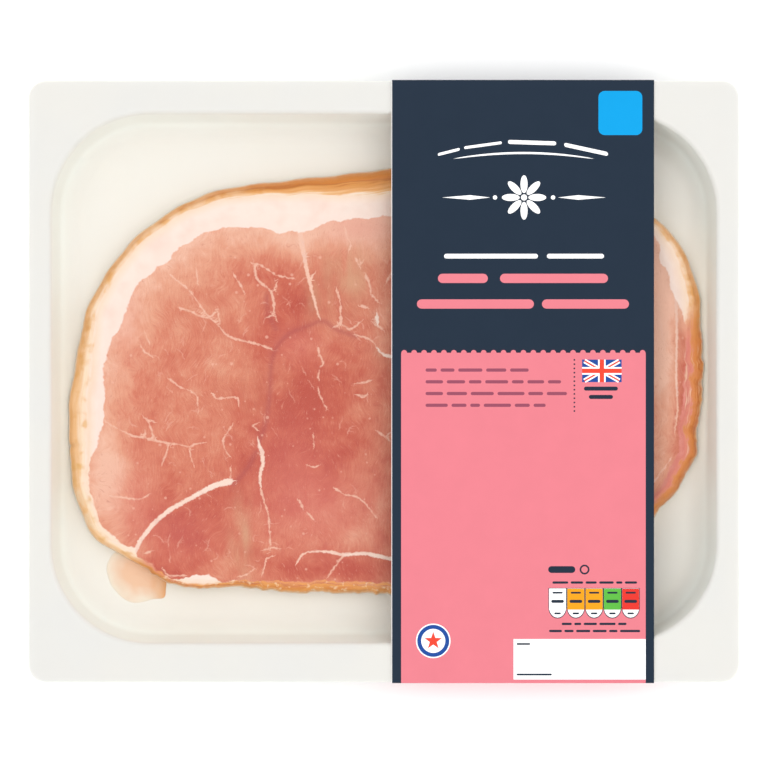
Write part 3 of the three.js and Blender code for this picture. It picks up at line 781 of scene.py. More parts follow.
def stray_veins():
    """Short branching threads of fat, strewn over the lean."""
    draw = np.random.default_rng(STRAY_SEED)
    lines = []
    while len(lines) < STRAY_VEINS:
        x, y = draw.uniform(*STRAY_X), draw.uniform(*STRAY_Y)
        heading = draw.normal(math.pi / 2, 0.8)
        length = draw.uniform(*STRAY_LENGTH)
        bend = draw.normal(0, 0.35)
        places = [(x, y)]
        for _ in range(3):
            x += math.cos(heading) * length / 3
            y += math.sin(heading) * length / 3
            heading += bend + draw.normal(0, 0.3)
            places.append((x, y))
        half = draw.uniform(*STRAY_HALF)
        lines.append((half, half * 0.5, places))
        if draw.random() < 0.4:
            side = heading + draw.choice([-1, 1]) * draw.uniform(0.7, 1.3)
            middle = places[1]
            tip = (middle[0] + math.cos(side) * length / 3, middle[1] + math.sin(side) * length / 3)
            lines.append((half, half * 0.4, [middle, tip]))
    return lines


# ---- Gammon steak: its form ----

FACE_RINGS = 132
SIDE_RINGS = 13
EDGE_PLACES = 8 * FACE_RINGS  # as many as the square net of the face has round it
EDGE_STEPS = 40
GROOVE_STEPS = 4
UNDERSIDE_RINGS = (1.0, 0.93, 0.8)  # shares of the way out
UNDERCUT = 0.15
FAT_CROWN = 0.4
SEAM_DEPTH = 0.4
SEAM_REACH = 1.9
MUSCLE_CROWN = 0.45
SHOULDER_DROP = 0.8
SHOULDER_REACH = 1.1
LEAN_WAVE = 0.16
FILLET_LIFT = 0.2
LIFT_RUN = 2.0
SHORT_WAVE = 0.07
SHORT_WAVES = [(1.0, 3.1, 21), (0.6, 1.5, 22)]
STRAND_RIDGE = 0.1  # strands of rind and muscle that run along the side
STRAND_SEED = 33
THINNEST_RIND = 0.8

# The outline is bumpy all round and torn in small scraps, more so at the streaky end, where x
# and -y are between these, and along the chipped bottom edge.
RIND_BUMP = 0.35
BUMP_WAVES = (61, 187)  # radians of the two, once round
STREAKY_X, STREAKY_DOWN = (60, 95), (-12, 20)
STREAKY_BUMPS = 1.6
CHIPPED_DOWN = (57, 65)
TEAR, STREAKY_TEAR, CHIPPED_TEAR = 0.12, 0.45, 0.42
TEARS = [(0.6, 2.6, 31), (0.4, 1.2, 32)]
NICK = (-101.8, -21.0)  # a small cut across the rind at the left
NICK_WIDTH = 1.0
NICK_DEPTH = 0.9
# How far round the cut the rind is darker brown.
NICK_DARK_REACH = 0.7
NICK_RUN = 2


def rest_height(x, y):
    """What the steak lies on: the floor, and the foot of the tray's fillet."""
    up_the_fillet = FLOOR_INSET - inset_at(x, y)
    across = np.clip(up_the_fillet, 0, FLOOR_FILLET)
    rise = FLOOR_FILLET - np.sqrt(FLOOR_FILLET**2 - across**2)
    return FLOOR_TOP + rise + FILLET_LIFT * np.clip(1 + up_the_fillet / LIFT_RUN, 0, 1)


def steak_outline():
    """The steak's outline at even places: where each is, which way and how far out it lies from
    the middle, and what STEAK_EDGE says of it."""
    rows = np.array(STEAK_EDGE)
    places = curve_through(rows[:, :2], EDGE_STEPS, closed=True)
    values = curve_through(rows[:, 2:], EDGE_STEPS, closed=True, power=0)
    x, y, rind, fat, stain, smoke, streaks = even_places(np.hstack([places, values]), EDGE_PLACES).T
    outward = np.stack([x, y], axis=1) - STEAK_CENTRE
    reach = np.hypot(*outward.T)
    outward /= reach[:, None]
    streaky = soft_step(x, *STREAKY_X) * soft_step(-y, *STREAKY_DOWN)
    chipped = soft_step(-y, *CHIPPED_DOWN)
    share = np.arange(EDGE_PLACES) / EDGE_PLACES
    bumps = np.sin(share * BUMP_WAVES[0]) * np.sin(share * BUMP_WAVES[1] + 1)
    reach += RIND_BUMP * (1 + STREAKY_BUMPS * streaky) * bumps
    tear = TEAR + STREAKY_TEAR * streaks + CHIPPED_TEAR * chipped
    reach += tear * mixed_noise(x, y, TEARS)
    from_nick = np.hypot(x - NICK[0], y - NICK[1])
    reach -= NICK_DEPTH * np.exp(-((from_nick / NICK_WIDTH) ** 2))
    return SimpleNamespace(
        x=x,
        y=y,
        outward=outward,
        reach=reach,
        rind=np.clip(rind, THINNEST_RIND, None),
        fat=fat,
        stain=stain,
        smoke=smoke,
        streaks=streaks,
        chipped=chipped,
        nick=np.exp(-((from_nick / NICK_DARK_REACH) ** 2)),
    )


def at_share(column, share):
    """A value of the outline at a share of the way round it."""
    shares = np.append(np.arange(EDGE_PLACES) / EDGE_PLACES, 1)
    return np.interp(share, shares, np.append(column, column[0]))


def net_quads(index):
    """The four-sided faces of a net of numbered points."""
    return np.stack([index[:-1, :-1], index[1:, :-1], index[1:, 1:], index[:-1, 1:]], axis=-1).reshape(-1, 4)


def square_grid(rings):
    """A square net of cells as shares of the way out, and places round the edge, so that it
    covers a disc with no crowding in the middle."""
    line = np.arange(-rings, rings + 1)
    i, j = np.meshgrid(line, line, indexing="ij")
    ring = np.maximum(np.abs(i), np.abs(j))
    safe = np.maximum(ring, 1)
    # The way round a square ring, in eighths, counter-clockwise from the middle of its right side.
    right, top, left = (i == ring) & (j > -ring), (j == ring) & (i < ring), (i == -ring) & (j < ring)
    eighths = np.select([right, top, left], [j / safe, 2 - i / safe, 4 - j / safe], 6 + i / safe)
    index = np.arange(len(line) ** 2).reshape(len(line), len(line))
    return (ring / rings).ravel(), ((eighths / 8) % 1).ravel(), net_quads(index)


def face_relief(x, y, from_shoulder, fat, seam_distance):
    crown = FAT_CROWN * (1 - soft_step(from_shoulder, fat * 0.8, fat * 1.3))
    shoulder = SHOULDER_DROP * np.exp(-from_shoulder / SHOULDER_REACH)
    waves = LEAN_WAVE * (np.sin(x / 9 + y / 17) + np.sin(y / 8 - x / 21))
    bulge = sum(
        MUSCLE_CROWN * np.maximum(0, 1 - ((x - mx) ** 2 + (y - my) ** 2) / reach**2)
        for mx, my, reach in MUSCLES
    )
    groove = SEAM_DEPTH * np.exp(-((seam_distance / SEAM_REACH) ** 2))
    short = SHORT_WAVE * mixed_noise(x, y, SHORT_WAVES)
    return crown + bulge + waves + short - groove - shoulder


def steak_face(rim, out_share, round_share):
    """The points of the cut face, and how far each lies inside the shoulder."""
    shoulder = at_share(rim.reach - rim.rind, round_share)
    direction = np.stack([at_share(part, round_share) for part in rim.outward.T], axis=1)
    direction /= np.hypot(*direction.T)[:, None]
    distance = shoulder * out_share
    x, y = (STEAK_CENTRE + direction * distance[:, None]).T
    seam_distance = np.full(x.shape, FAR)
    for places in [seam[2] for seam in SEAMS] + CREASES:
        line = curve_through(places, GROOVE_STEPS)
        seam_distance = np.minimum(seam_distance, np.abs(offsets_from(x, y, line, SEAM_LOOK)[0]))
    top = FLOOR_TOP + STEAK_THICKNESS
    z = top + face_relief(x, y, shoulder - distance, at_share(rim.fat, round_share), seam_distance)
    return np.stack([x, y, z], axis=1), shoulder - distance


def steak_side(rim, border_z):
    """Rings down the side, each a step of a quarter of an ellipse, and then in under the edge;
    and how far in from the outline each of them lies."""
    lowest = rest_height(*(STEAK_CENTRE + rim.outward * rim.reach[:, None]).T) + UNDERCUT
    rings, insets = [], []
    for step in range(1, SIDE_RINGS + 1):
        angle = step / SIDE_RINGS * math.pi / 2
        inset = rim.rind * (1 - math.sin(angle))
        strand = STRAND_RIDGE * soft_noise(rim.x * 0.35, rim.y * 0.35 + step * 2.1, 1.4, STRAND_SEED)
        flat = STEAK_CENTRE + rim.outward * (rim.reach - inset + strand * math.sin(2 * angle))[:, None]
        height = lowest + (border_z - lowest) * math.cos(angle)
        rings.append(np.column_stack([flat, height]))
        insets.append(inset)
    for share in UNDERSIDE_RINGS:
        flat = STEAK_CENTRE + rim.outward * ((rim.reach - UNDERCUT) * share)[:, None]
        rings.append(np.column_stack([flat, rest_height(*flat.T)]))
        insets.append(np.zeros(EDGE_PLACES))
    return rings, insets


def side_faces(border, first, rings):
    """Faces from a border down that many rings of points, numbered from first, to a last point."""
    faces = []
    previous = border
    for number in range(rings):
        ring = first + number * len(border) + np.arange(len(border))
        following, onward = np.roll(previous, -1), np.roll(ring, -1)
        faces += np.stack([previous, ring, onward, following], axis=1).tolist()
        previous = ring
    last = first + rings * len(border)
    return faces + [(last, b, a) for a, b in zip(previous, np.roll(previous, -1))]


def rind_fields(rim, inward, everywhere):
    """What the finish needs to know about the rind at each point."""
    stain, streaks = everywhere(rim.stain), everywhere(rim.streaks)
    strand = (everywhere(rim.x) / STRAND_RUN, everywhere(rim.y) / STRAND_RUN, inward / STRAND_WIDTH)
    return {
        # The finish adds noise to the band, so the noise's middle is taken off it first.
        "band": inward / stain - BAND_SWAY / 2 - 0.5 * streaks,
        "inward": inward,
        "past_rind": inward - stain,
        "smoke": everywhere(rim.smoke),
        "streaks": streaks,
        "chipped": everywhere(rim.chipped),
        "nick": everywhere(rim.nick) * np.exp(-inward / NICK_RUN),
        "strand": np.column_stack(strand),
    }


def face_fields(x, y, fat):
    """What the finish needs to know about the lean and the lines on the cut face."""
    lean, _ = offsets_from(x, y, curve_through(LEAN_EDGE + LEAN_EDGE[:1], LINE_STEPS))
    lean += LEAN_SCALLOP * mixed_noise(x, y, LEAN_SCALLOPS)
    lean -= LEAN_FRAY / 2
    crease = np.zeros(len(x))
    for places in CREASES:
        distance, _ = offsets_from(x, y, curve_through(places, LINE_STEPS), CREASE_LOOK)
        crease = np.maximum(crease, np.exp(-((distance / CREASE_REACH) ** 2)))
    # The lean is paler towards the fat round it, and more so where that fat is wide.
    beside_fat = np.clip(fat / WIDE_FAT, 0.1, 1)
    tone = LEAN_TONE + PALE_BY_FAT * beside_fat * np.exp(-np.maximum(lean - PALE_FROM, 0) / PALE_RUN)
    # Some of these are painted light beside the sleeve's edges.
    tone += blobs(x, y, LEAN_TONES_AND_PAINTED_LIGHT)
    tone -= (MOTTLE_SHARE + FIBRE_SHARE) / 2
    tone += mixed_noise(x, y, TONE_CLOUDS)
    # The olive sheen comes in bands across the fibres.
    sheen = 0.7 + 0.5 * soft_noise(x, y / 4, 1.6, 63) + 0.5 * soft_noise(x, y / 3, 3.2, 64)
    seam_distance, white = np.full(len(x), FAR), np.zeros(len(x))
    for _, _, places, whiteness in SEAMS:
        distance, _ = offsets_from(x, y, curve_through(places, GROOVE_STEPS), SEAM_LOOK)
        closer = np.abs(distance) < seam_distance
        seam_distance[closer] = np.abs(distance)[closer]
        white[closer] = whiteness
    across = (x + mixed_noise(x, y, FIBRE_SWAY_X)) / FIBRE_WIDTH
    along = (y + mixed_noise(x, y, FIBRE_SWAY_Y)) / FIBRE_LENGTH
    fields = {
        "lean": np.clip(lean, -MOST_LEAN, MOST_LEAN),
        "tone": tone,
        "olive": blobs(x, y, OLIVE_SHEEN) * np.clip(sheen, 0.1, 1.3),
        "rosy": blobs(x, y, ROSY),
        "crease": crease,
        "white": white,
        "fibre": np.column_stack([across, along, np.zeros(len(x))]),
    }
    lines = {
        "stray": stray_veins(),
        "vein": [(half * 0.9, half * 0.7, places) for half, places in VEINS],
        "seam": [seam[:3] for seam in SEAMS],
    }
    for name, (sway, breaking, *_) in LINE_FINISHES.items():
        offset, half = line_fields(x, y, lines[name])
        fields[f"{name}_offset"] = offset - sway / 2
        fields[f"{name}_half"] = half - breaking / 2
    return fields


def make_steak(material):
    rim = steak_outline()
    out_share, round_share, quads = square_grid(FACE_RINGS)
    face, from_shoulder = steak_face(rim, out_share, round_share)
    border = np.nonzero(out_share == 1)[0]
    border = border[np.argsort(round_share[border])]
    rings, insets = steak_side(rim, face[border, 2])
    points = np.vstack([face, *rings, [[*STEAK_CENTRE, FLOOR_TOP]]])
    faces = quads.tolist() + side_faces(border, len(face), len(rings))

    def everywhere(column):
        """A value of the outline, at every point of the mesh."""
        return np.concatenate([at_share(column, round_share), np.tile(column, len(rings)), [column[0]]])

    inward = np.concatenate([from_shoulder + at_share(rim.rind, round_share), *insets, [0]])
    fields = rind_fields(rim, inward, everywhere)
    fields |= face_fields(points[:, 0], points[:, 1], everywhere(rim.fat))
    piece = make_piece("cured_steak", points, faces, [material], fields=fields)
    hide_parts("gammon_steak")
    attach(piece, "root")


# ---- Gammon steak: its finish ----

# The noises that are worked out as the mesh is made, each: how strong, size, seed.
LEAN_SCALLOP = 0.75
LEAN_SCALLOPS = [(1.0, 4.4, 41), (0.5, 1.8, 42)]
FIBRE_SWAY_X = [(4.5, 14, 51), (1.6, 4, 52)]
FIBRE_SWAY_Y = [(4.0, 12, 53)]
TONE_CLOUDS = [(0.05, 9, 61), (0.04, 4.5, 62)]
# The lean's tone is a place on the ramp of its shades.
LEAN_TONE = 0.385
PALE_BY_FAT = 0.5
PALE_FROM = 1.2
PALE_RUN = 8.5
WIDE_FAT = 5
MOST_LEAN = 20
CREASE_REACH = 0.8
CREASE_LOOK, SEAM_LOOK = 5, 6  # how far from a line its distance is worked out
FIBRE_WIDTH, FIBRE_LENGTH = 0.6, 4  # of the lean's fibres, as the knife left them
STRAND_WIDTH, STRAND_RUN = 0.75, 10  # the rind's strands, across and along the edge
MOTTLE_SHARE = 0.65
FIBRE_SHARE = 0.42
# How far the borders of lean and fat are frayed, and how far the fat's crumbles.
LEAN_FRAY = 1.2
FAT_FRAY = 1.2
FAT_CRUMBLE = 1.6
BAND_SWAY = 0.6
LEAN_SHADES = [(0.0, "b04432"), (0.22, "bd5942"), (0.45, "cb775c"), (0.68, "d79477"), (1.0, "e2b098")]
OLIVE_SHADE = "c79472"
ROSY_SHADE = "d0736a"
CREASE_SHADE = "a74a44"
DARK_FIBRE = "aa4437"
THREAD_SHADE = "e0aa95"
VEIN_SHADE = "e2b29c"
SEAM_PINK = "e2b098"
SEAM_WHITE = "ecd4c5"
SEAM_FLESH = "ddb2a2"
FAT_MIDDLE = "ecd8cc"
FAT_BY_LEAN = "ebd5c9"
FAT_SHADOW = "e8cabc"
FAT_BY_RIND = "ebceb4"
# Across the rind from its outer edge, where 1 is as far in as its colour goes. The shades are partly painted
# light: the outer ones are set lighter than the rind's own to lift the shade on the slanting side, and the
# streaky end's to lift the sleeve's shade there.
PALE_RIND = [(0.0, "daa05c"), (0.1, "e0a76a"), (0.32, "e7b885"), (0.54, "e8c199"), (0.7, "ecd5ba"),
             (0.86, "ecd0b8"), (1.0, "eed8c9")]
SMOKED_RIND = [(0.0, "cd954a"), (0.08, "d08233"), (0.34, "ca7a2c"), (0.45, "b76927"), (0.55, "d08a3f"),
               (0.78, "db9c5c"), (0.92, "e4b684"), (1.0, "ecd6c1")]
STREAKY_RIND = [(0.0, "d08f4c"), (0.1, "bf6a2a"), (0.28, "cf7f3c"), (0.42, "ce7c42"), (0.5, "d08450"),
                (0.58, "d3806a"), (0.75, "cf7565"), (1.0, "d58576")]
RIND_CREAM = "e9d6ba"
# Partly painted light: lighter than the rind's own ochre, to lift the shade on the slanting side.
OCHRE_PATCH = "d9a45a"
AMBER_CHIP = "dc9648"
STREAK_CREAM = "e7cdab"
# Painted light: the foot of the steak's side is paler, to lift its shade by the tray and the tan it throws
# there.
RIND_FOOT_PAINTED_LIGHT = "e5d6c1"
NICK_SHADE = "805b33"
MEAT_IOR = 1.4
FAT_IOR = 1.46
MEAT_RELIEF = 0.16
MEAT_ROUGHNESS = (0.3, 0.5)
SPECK_SPACING = 2.9
LARGEST_SPECK = 0.19  # its radius, as a share of the spacing

# The lines on the face, each: how far they sway, how much they break up, how soft their edges
# are, how strong they are, and their colour.
LINE_FINISHES = {
    "stray": (0.8, 0.5, 0.2, 0.5, THREAD_SHADE),
    "vein": (1.0, 1.2, 0.2, 0.85, VEIN_SHADE),
    "seam": (1.1, 0.5, 0.2, 1.0, None),
}

# What the mesh tells the finish, and the noises that break the finish up, each: what it is read
# at, its scale there, its detail and its roughness.
MEAT_FIELDS = [
    "band", "inward", "past_rind", "smoke", "streaks", "chipped", "nick", "strand",
    "lean", "tone", "olive", "rosy", "crease", "white", "fibre",
]
MEAT_NOISES = {
    "jitter": ("place", 1 / (0.9 * MM), 3.0, 0.5),
    "mottle": ("place", 1 / (6 * MM), 3.0, 0.5),
    "grain": ("place", 1 / (1.7 * MM), 3.0, 0.5),
    "patch": ("place", 1 / (4.5 * MM), 2.0, 0.5),
    "fibre": ("fibre", 1.0, 4.0, 0.6),
    "fleck": ("fibre", 2.3, 2.0, 0.5),
    "strand": ("strand", 1.0, 3.0, 0.5),
}


def lean_colour(tree, at, noise, place):
    """A ramp of pinks, moved up and down by the mottling and the fibres, with specks of fat."""
    mottled = add_node(
        tree,
        "ShaderNodeMath",
        {0: noise["mottle"], 1: MOTTLE_SHARE, 2: at["tone"]["Fac"]},
        operation="MULTIPLY_ADD",
    )
    tone = add_node(
        tree,
        "ShaderNodeMath",
        {0: noise["fibre"], 1: FIBRE_SHARE, 2: mottled},
        operation="MULTIPLY_ADD",
    )
    # The specks lie between the fibres, 0.5 to 1 mm wide.
    specks = add_node(tree, "ShaderNodeTexVoronoi", {"Vector": place, "Scale": 1 / (SPECK_SPACING * MM)})
    size = add_node(
        tree,
        "ShaderNodeMapRange",
        {"Value": specks.outputs["Color"], "From Min": 0.4, "From Max": 0.95, "To Max": LARGEST_SPECK},
    )
    speck = add_node(
        tree, "ShaderNodeMath", {0: size, 1: specks.outputs["Distance"]}, operation="SUBTRACT"
    )
    return lay_over(tree, add_ramp(tree, tone, LEAN_SHADES), [
        (at["olive"]["Fac"], 0, 1, 1, linear(OLIVE_SHADE)),
        (at["rosy"]["Fac"], 0, 1, 0.7, linear(ROSY_SHADE)),
        (at["crease"]["Fac"], 0, 1, 0.62, linear(CREASE_SHADE)),
        (noise["fleck"], 0.4, 0.26, 0.4, linear(DARK_FIBRE)),
        (noise["fleck"], 0.62, 0.76, 0.45, linear(THREAD_SHADE)),
        (speck, -0.05, 0.07, 0.6, linear(THREAD_SHADE)),
    ])


def line_layers(tree, at, noise):
    """Threads, veins and seams: crisp where the distance from the line passes its half width."""
    seam_colour = lay_over(tree, linear(SEAM_PINK), [
        (at["white"]["Fac"], 0, 1, 1, linear(SEAM_WHITE)),
        (noise["patch"], 0.5, 0.7, 0.7, linear(SEAM_FLESH)),
    ])
    layers = []
    for name, (sway, breaking, softness, strength, shade) in LINE_FINISHES.items():
        offset = add_node(tree, "ShaderNodeAttribute", attribute_name=f"{name}_offset")
        half = add_node(tree, "ShaderNodeAttribute", attribute_name=f"{name}_half")
        swayed = add_node(
            tree,
            "ShaderNodeMath",
            {0: noise["jitter"], 1: sway, 2: offset.outputs["Fac"]},
            operation="MULTIPLY_ADD",
        )
        away = add_node(tree, "ShaderNodeMath", {0: swayed}, operation="ABSOLUTE")
        broken = add_node(
            tree,
            "ShaderNodeMath",
            {0: noise["grain"], 1: breaking, 2: half.outputs["Fac"]},
            operation="MULTIPLY_ADD",
        )
        within = add_node(tree, "ShaderNodeMath", {0: broken, 1: away}, operation="SUBTRACT")
        colour = seam_colour if shade is None else linear(shade)
        layers.append((within, -softness, softness, strength, colour))
    return layers


def rind_colour(tree, at, noise):
    """Bands that run along the edge, browner where the smoke took."""
    banded = add_node(
        tree,
        "ShaderNodeMath",
        {0: noise["strand"], 1: BAND_SWAY, 2: at["band"]["Fac"]},
        operation="MULTIPLY_ADD",
    )
    smoke = add_node(
        tree,
        "ShaderNodeMath",
        {0: noise["patch"], 1: 0.9, 2: at["smoke"]["Fac"]},
        operation="MULTIPLY_ADD",
    )
    ragged = add_node(
        tree,
        "ShaderNodeMath",
        {0: noise["patch"], 1: at["streaks"]["Fac"], 2: banded},
        operation="MULTIPLY_ADD",
    )
    threads = add_node(
        tree, "ShaderNodeMath", {0: noise["strand"], 1: at["streaks"]["Fac"]}, operation="MULTIPLY"
    )
    chips = add_node(
        tree, "ShaderNodeMath", {0: noise["strand"], 1: at["chipped"]["Fac"]}, operation="MULTIPLY"
    )
    crumbs = add_node(
        tree, "ShaderNodeMath", {0: noise["grain"], 1: at["chipped"]["Fac"]}, operation="MULTIPLY"
    )
    return lay_over(tree, add_ramp(tree, banded, PALE_RIND), [
        (smoke, 0.3, 0.05, 0.85, linear(RIND_CREAM)),
        (noise["patch"], 0.5, 0.66, 0.66, linear(OCHRE_PATCH)),
        (smoke, 0.5, 1.4, 1, add_ramp(tree, banded, SMOKED_RIND)),
        (at["streaks"]["Fac"], 0.1, 0.8, 1, add_ramp(tree, ragged, STREAKY_RIND)),
        (threads, 0.56, 0.66, 0.5, linear(STREAK_CREAM)),
        (chips, 0.46, 0.56, 0.8, linear(AMBER_CHIP)),
        (crumbs, 0.56, 0.68, 0.65, linear(STREAK_CREAM)),
        # Darker brown in and round the cut.
        (at["nick"]["Fac"], 0, 1, 0.8, linear(NICK_SHADE)),
        # Painted light at the foot of the side.
        (at["inward"]["Fac"], 0.6, 0.15, 0.7, linear(RIND_FOOT_PAINTED_LIGHT)),
    ])


def cured_meat():
    """Cured, smoked pork, cut with a knife and still moist. The lean is a mosaic of muscle fibre
    ends in pinks, with white connective threads; the fat is cream and waxy; the rind is dry and
    orange-brown from the smoke. Moisture gives it all a soft, broken gloss."""
    material, tree, surface = start_material("cured_meat", IOR=MEAT_IOR)
    at = {
        name: add_node(tree, "ShaderNodeAttribute", attribute_name=name).outputs for name in MEAT_FIELDS
    }
    place = add_node(tree, "ShaderNodeNewGeometry").outputs["Position"]
    spots = {"place": place, "fibre": at["fibre"]["Vector"], "strand": at["strand"]["Vector"]}
    noise = {}
    for name, (spot, scale, detail, roughness) in MEAT_NOISES.items():
        node = add_node(
            tree,
            "ShaderNodeTexNoise",
            {"Vector": spots[spot], "Scale": scale, "Detail": detail, "Roughness": roughness},
        )
        noise[name] = node.outputs["Fac"]

    lean = lay_over(tree, lean_colour(tree, at, noise, place), line_layers(tree, at, noise))
    rind = rind_colour(tree, at, noise)
    # The fat is pinkish by the lean, cream in the middle and yellower by the rind.
    fat = lay_over(tree, linear(FAT_MIDDLE), [
        (noise["mottle"], 0.45, 0.7, 0.7, linear(FAT_SHADOW)),
        (at["lean"]["Fac"], -2.6, -0.4, 1, linear(FAT_BY_LEAN)),
        (at["past_rind"]["Fac"], 3.0, 0.2, 0.8, linear(FAT_BY_RIND)),
    ])

    # Each begins with a ragged border.
    lean_from = add_node(
        tree,
        "ShaderNodeMath",
        {0: noise["jitter"], 1: LEAN_FRAY, 2: at["lean"]["Fac"]},
        operation="MULTIPLY_ADD",
    )
    fat_frayed = add_node(
        tree,
        "ShaderNodeMath",
        {0: noise["strand"], 1: FAT_FRAY, 2: at["past_rind"]["Fac"]},
        operation="MULTIPLY_ADD",
    )
    fat_from = add_node(
        tree,
        "ShaderNodeMath",
        {0: noise["grain"], 1: FAT_CRUMBLE, 2: fat_frayed},
        operation="MULTIPLY_ADD",
    )
    face = lay_over(tree, rind, [
        (fat_from, 0.8, 1.9, 1, fat),
        (lean_from, 0.42, 0.78, 1, lean),
    ])
    # Where the lean reaches the edge, the rind still covers it.
    colour = lay_over(tree, rind, [(fat_from, 0.8, 1.4, 1, face)])

    # Fibres and threads break up the gloss.
    height = add_node(
        tree,
        "ShaderNodeMath",
        {0: noise["fibre"], 1: 0.6, 2: noise["grain"]},
        operation="MULTIPLY_ADD",
    )
    bump = add_node(
        tree, "ShaderNodeBump", {"Height": height, "Distance": MEAT_RELIEF * MM, "Strength": 0.6}
    )
    low, high = MEAT_ROUGHNESS
    wet = add_node(
        tree,
        "ShaderNodeMapRange",
        {"Value": noise["grain"], "From Min": 0.35, "From Max": 0.65, "To Min": low, "To Max": high},
    )
    connect(tree, surface, {"Base Color": colour, "Roughness": wet, "Normal": bump})
    return material


# ---- The loose flap of fat ----

FLAP_CENTRE = np.array([-80, -62.5])
FLAP_EDGE = [(-70.9, -66.5), (-71.6, -58), (-80, -53), (-88.6, -56.8), (-90.2, -61.5), (-87.6, -68.2),
             (-81.6, -72.1), (-75, -70.8), (-71.6, -70.4)]
FLAP_STEPS = 160
FLAP_RINGS = 26
FLAP_WOBBLE = 0.02  # of the way out
FLAP_DENTS = 0.3
FLAP_LIP = 0.1  # above the floor
FLAP_CROWN = FLAP_THICKNESS - 0.4
FLAP_FALL = 1.7  # above 1, it thins more evenly towards its rim than a dome does
FLAP_GAP = 0.02
DEEPEST = 9.0


def make_flap(material):
    edge = even_places(curve_through(FLAP_EDGE, EDGE_STEPS, closed=True), FLAP_STEPS)
    outward = edge - FLAP_CENTRE
    wobble = 1 + FLAP_WOBBLE * soft_noise(*edge.T, 2.2, 71)
    outward *= wobble[:, None]
    rings, inward = [], []
    for number in range(1, FLAP_RINGS + 1):
        angle = number / FLAP_RINGS * math.pi / 2
        flat = FLAP_CENTRE + outward * math.sin(angle)
        dents = FLAP_DENTS * soft_noise(*flat.T, 3.5, 72) * math.cos(angle)
        height = FLOOR_TOP + FLAP_LIP + FLAP_CROWN * math.cos(angle) ** FLAP_FALL + dents
        rings.append(np.column_stack([flat, height]))
        inward.append(np.hypot(*outward.T) * (1 - math.sin(angle)))
    foot = FLOOR_TOP + FLAP_GAP
    rings.append(np.column_stack([FLAP_CENTRE + outward * 0.97, np.full(FLAP_STEPS, foot)]))
    inward.append(np.zeros(FLAP_STEPS))
    crown = (*FLAP_CENTRE, FLOOR_TOP + FLAP_LIP + FLAP_CROWN)
    points, faces = skin_over([ring.tolist() for ring in rings], crown, (*FLAP_CENTRE, foot))
    depth = np.concatenate([[DEEPEST], *inward, [DEEPEST]])
    piece = make_piece("loose_fat", points, faces, [material], fields={"inward": depth})
    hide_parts("gammon_steak")
    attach(piece, "root")


# Partly the tray seen through the thin rim, partly painted light that lifts the shade of its steep edge.
FLAP_RIM_CREAM_AND_LIGHT = "e8dac8"
FLAP_PEACH = "e2b796"
FLAP_TIP_BROWN = "d89553"
FLAP_TIP_FROM, FLAP_TIP_TO = -76.5, -71.2  # along x
FLAP_CLOUD = 4.0
FLAP_RELIEF = 0.3
FLAP_ROUGHNESS = (0.3, 0.5)


def loose_back_fat():
    """A thin end of back fat, soft and nearly see-through: the tray shows pale through its rim, and
    the rim is painted paler still, painted light that lifts the shade on its steep edge. It is
    peach where it thickens."""
    material, tree, surface = start_material("loose_back_fat", IOR=FAT_IOR)
    place = add_node(tree, "ShaderNodeNewGeometry").outputs["Position"]
    along = add_node(tree, "ShaderNodeSeparateXYZ", {0: place}).outputs["X"]
    depth = add_node(tree, "ShaderNodeAttribute", attribute_name="inward").outputs["Fac"]
    cloud = add_node(
        tree, "ShaderNodeTexNoise", {"Vector": place, "Scale": 1 / (FLAP_CLOUD * MM), "Detail": 4.0}
    ).outputs["Fac"]
    thick = add_node(tree, "ShaderNodeMath", {0: cloud, 1: 5.0, 2: depth}, operation="MULTIPLY_ADD")
    # The end nearest the steak's bottom edge has a smoked tip.
    colour = lay_over(tree, linear(FLAP_RIM_CREAM_AND_LIGHT), [
        (thick, 2.5, 7.8, 1, linear(FLAP_PEACH)),
        (along, FLAP_TIP_FROM * MM, FLAP_TIP_TO * MM, 0.9, linear(FLAP_TIP_BROWN)),
    ])
    bump = add_node(
        tree, "ShaderNodeBump", {"Height": cloud, "Distance": FLAP_RELIEF * MM, "Strength": 0.4}
    )
    low, high = FLAP_ROUGHNESS
    rough = add_node(tree, "ShaderNodeMapRange", {"Value": cloud, "To Min": low, "To Max": high})
    connect(tree, surface, {"Base Color": colour, "Roughness": rough, "Normal": bump})
    return material


# ---- Card sleeve: its form ----

FOLD_STEPS = 5
TOP_FOLD = 0.55
LOW_FOLD = 0.5
FOOT_FOLD = 1.4
CARD_CRISP_TURN = 35  # degrees


def sleeve_corners(out):
    """The corners of the section's +Y half and -Y half, from the top down, that far out from the
    card's inner face."""
    rim_y = TRAY_HALF_Y + SLEEVE_ROOM
    rim_low = RIM_HEIGHT - TRAY_SHEET - SLEEVE_ROOM
    halves = []
    for side in (1, -1):
        foot_y = WELL_DEPTH / 2 - FLOOR_INSET + SLEEVE_FOOT + side * WELL_SHIFT
        slant = math.atan2(rim_low - SLEEVE_CARD, rim_y - foot_y)
        low = rim_low - out * math.tan((math.pi / 2 - slant) / 2)
        halves.append([
            (side * (rim_y + out), FILM_TOP + out),
            (side * (rim_y + out), low),
            (side * (foot_y + out * math.tan(slant / 2)), SLEEVE_CARD - out),
        ])
    return halves


def fold_round(before, corner, after, radius):
    """Points of an arc that rounds a corner."""
    before, corner, after = (np.array(p, dtype=float) for p in (before, corner, after))
    to_before, to_after = before - corner, after - corner
    to_before /= np.linalg.norm(to_before)
    to_after /= np.linalg.norm(to_after)
    half_turn = math.acos(np.clip(to_before @ to_after, -1, 1)) / 2
    bisector = (to_before + to_after) / np.linalg.norm(to_before + to_after)
    centre = corner + bisector * radius / math.sin(half_turn)
    start = corner + to_before * radius / math.tan(half_turn) - centre
    end = corner + to_after * radius / math.tan(half_turn) - centre
    sweep = math.acos(np.clip(start @ end / radius**2, -1, 1))
    arc = []
    for share in np.linspace(0, 1, FOLD_STEPS):
        spoke = math.sin((1 - share) * sweep) * start + math.sin(share * sweep) * end
        arc.append(centre + spoke / math.sin(sweep))
    return arc


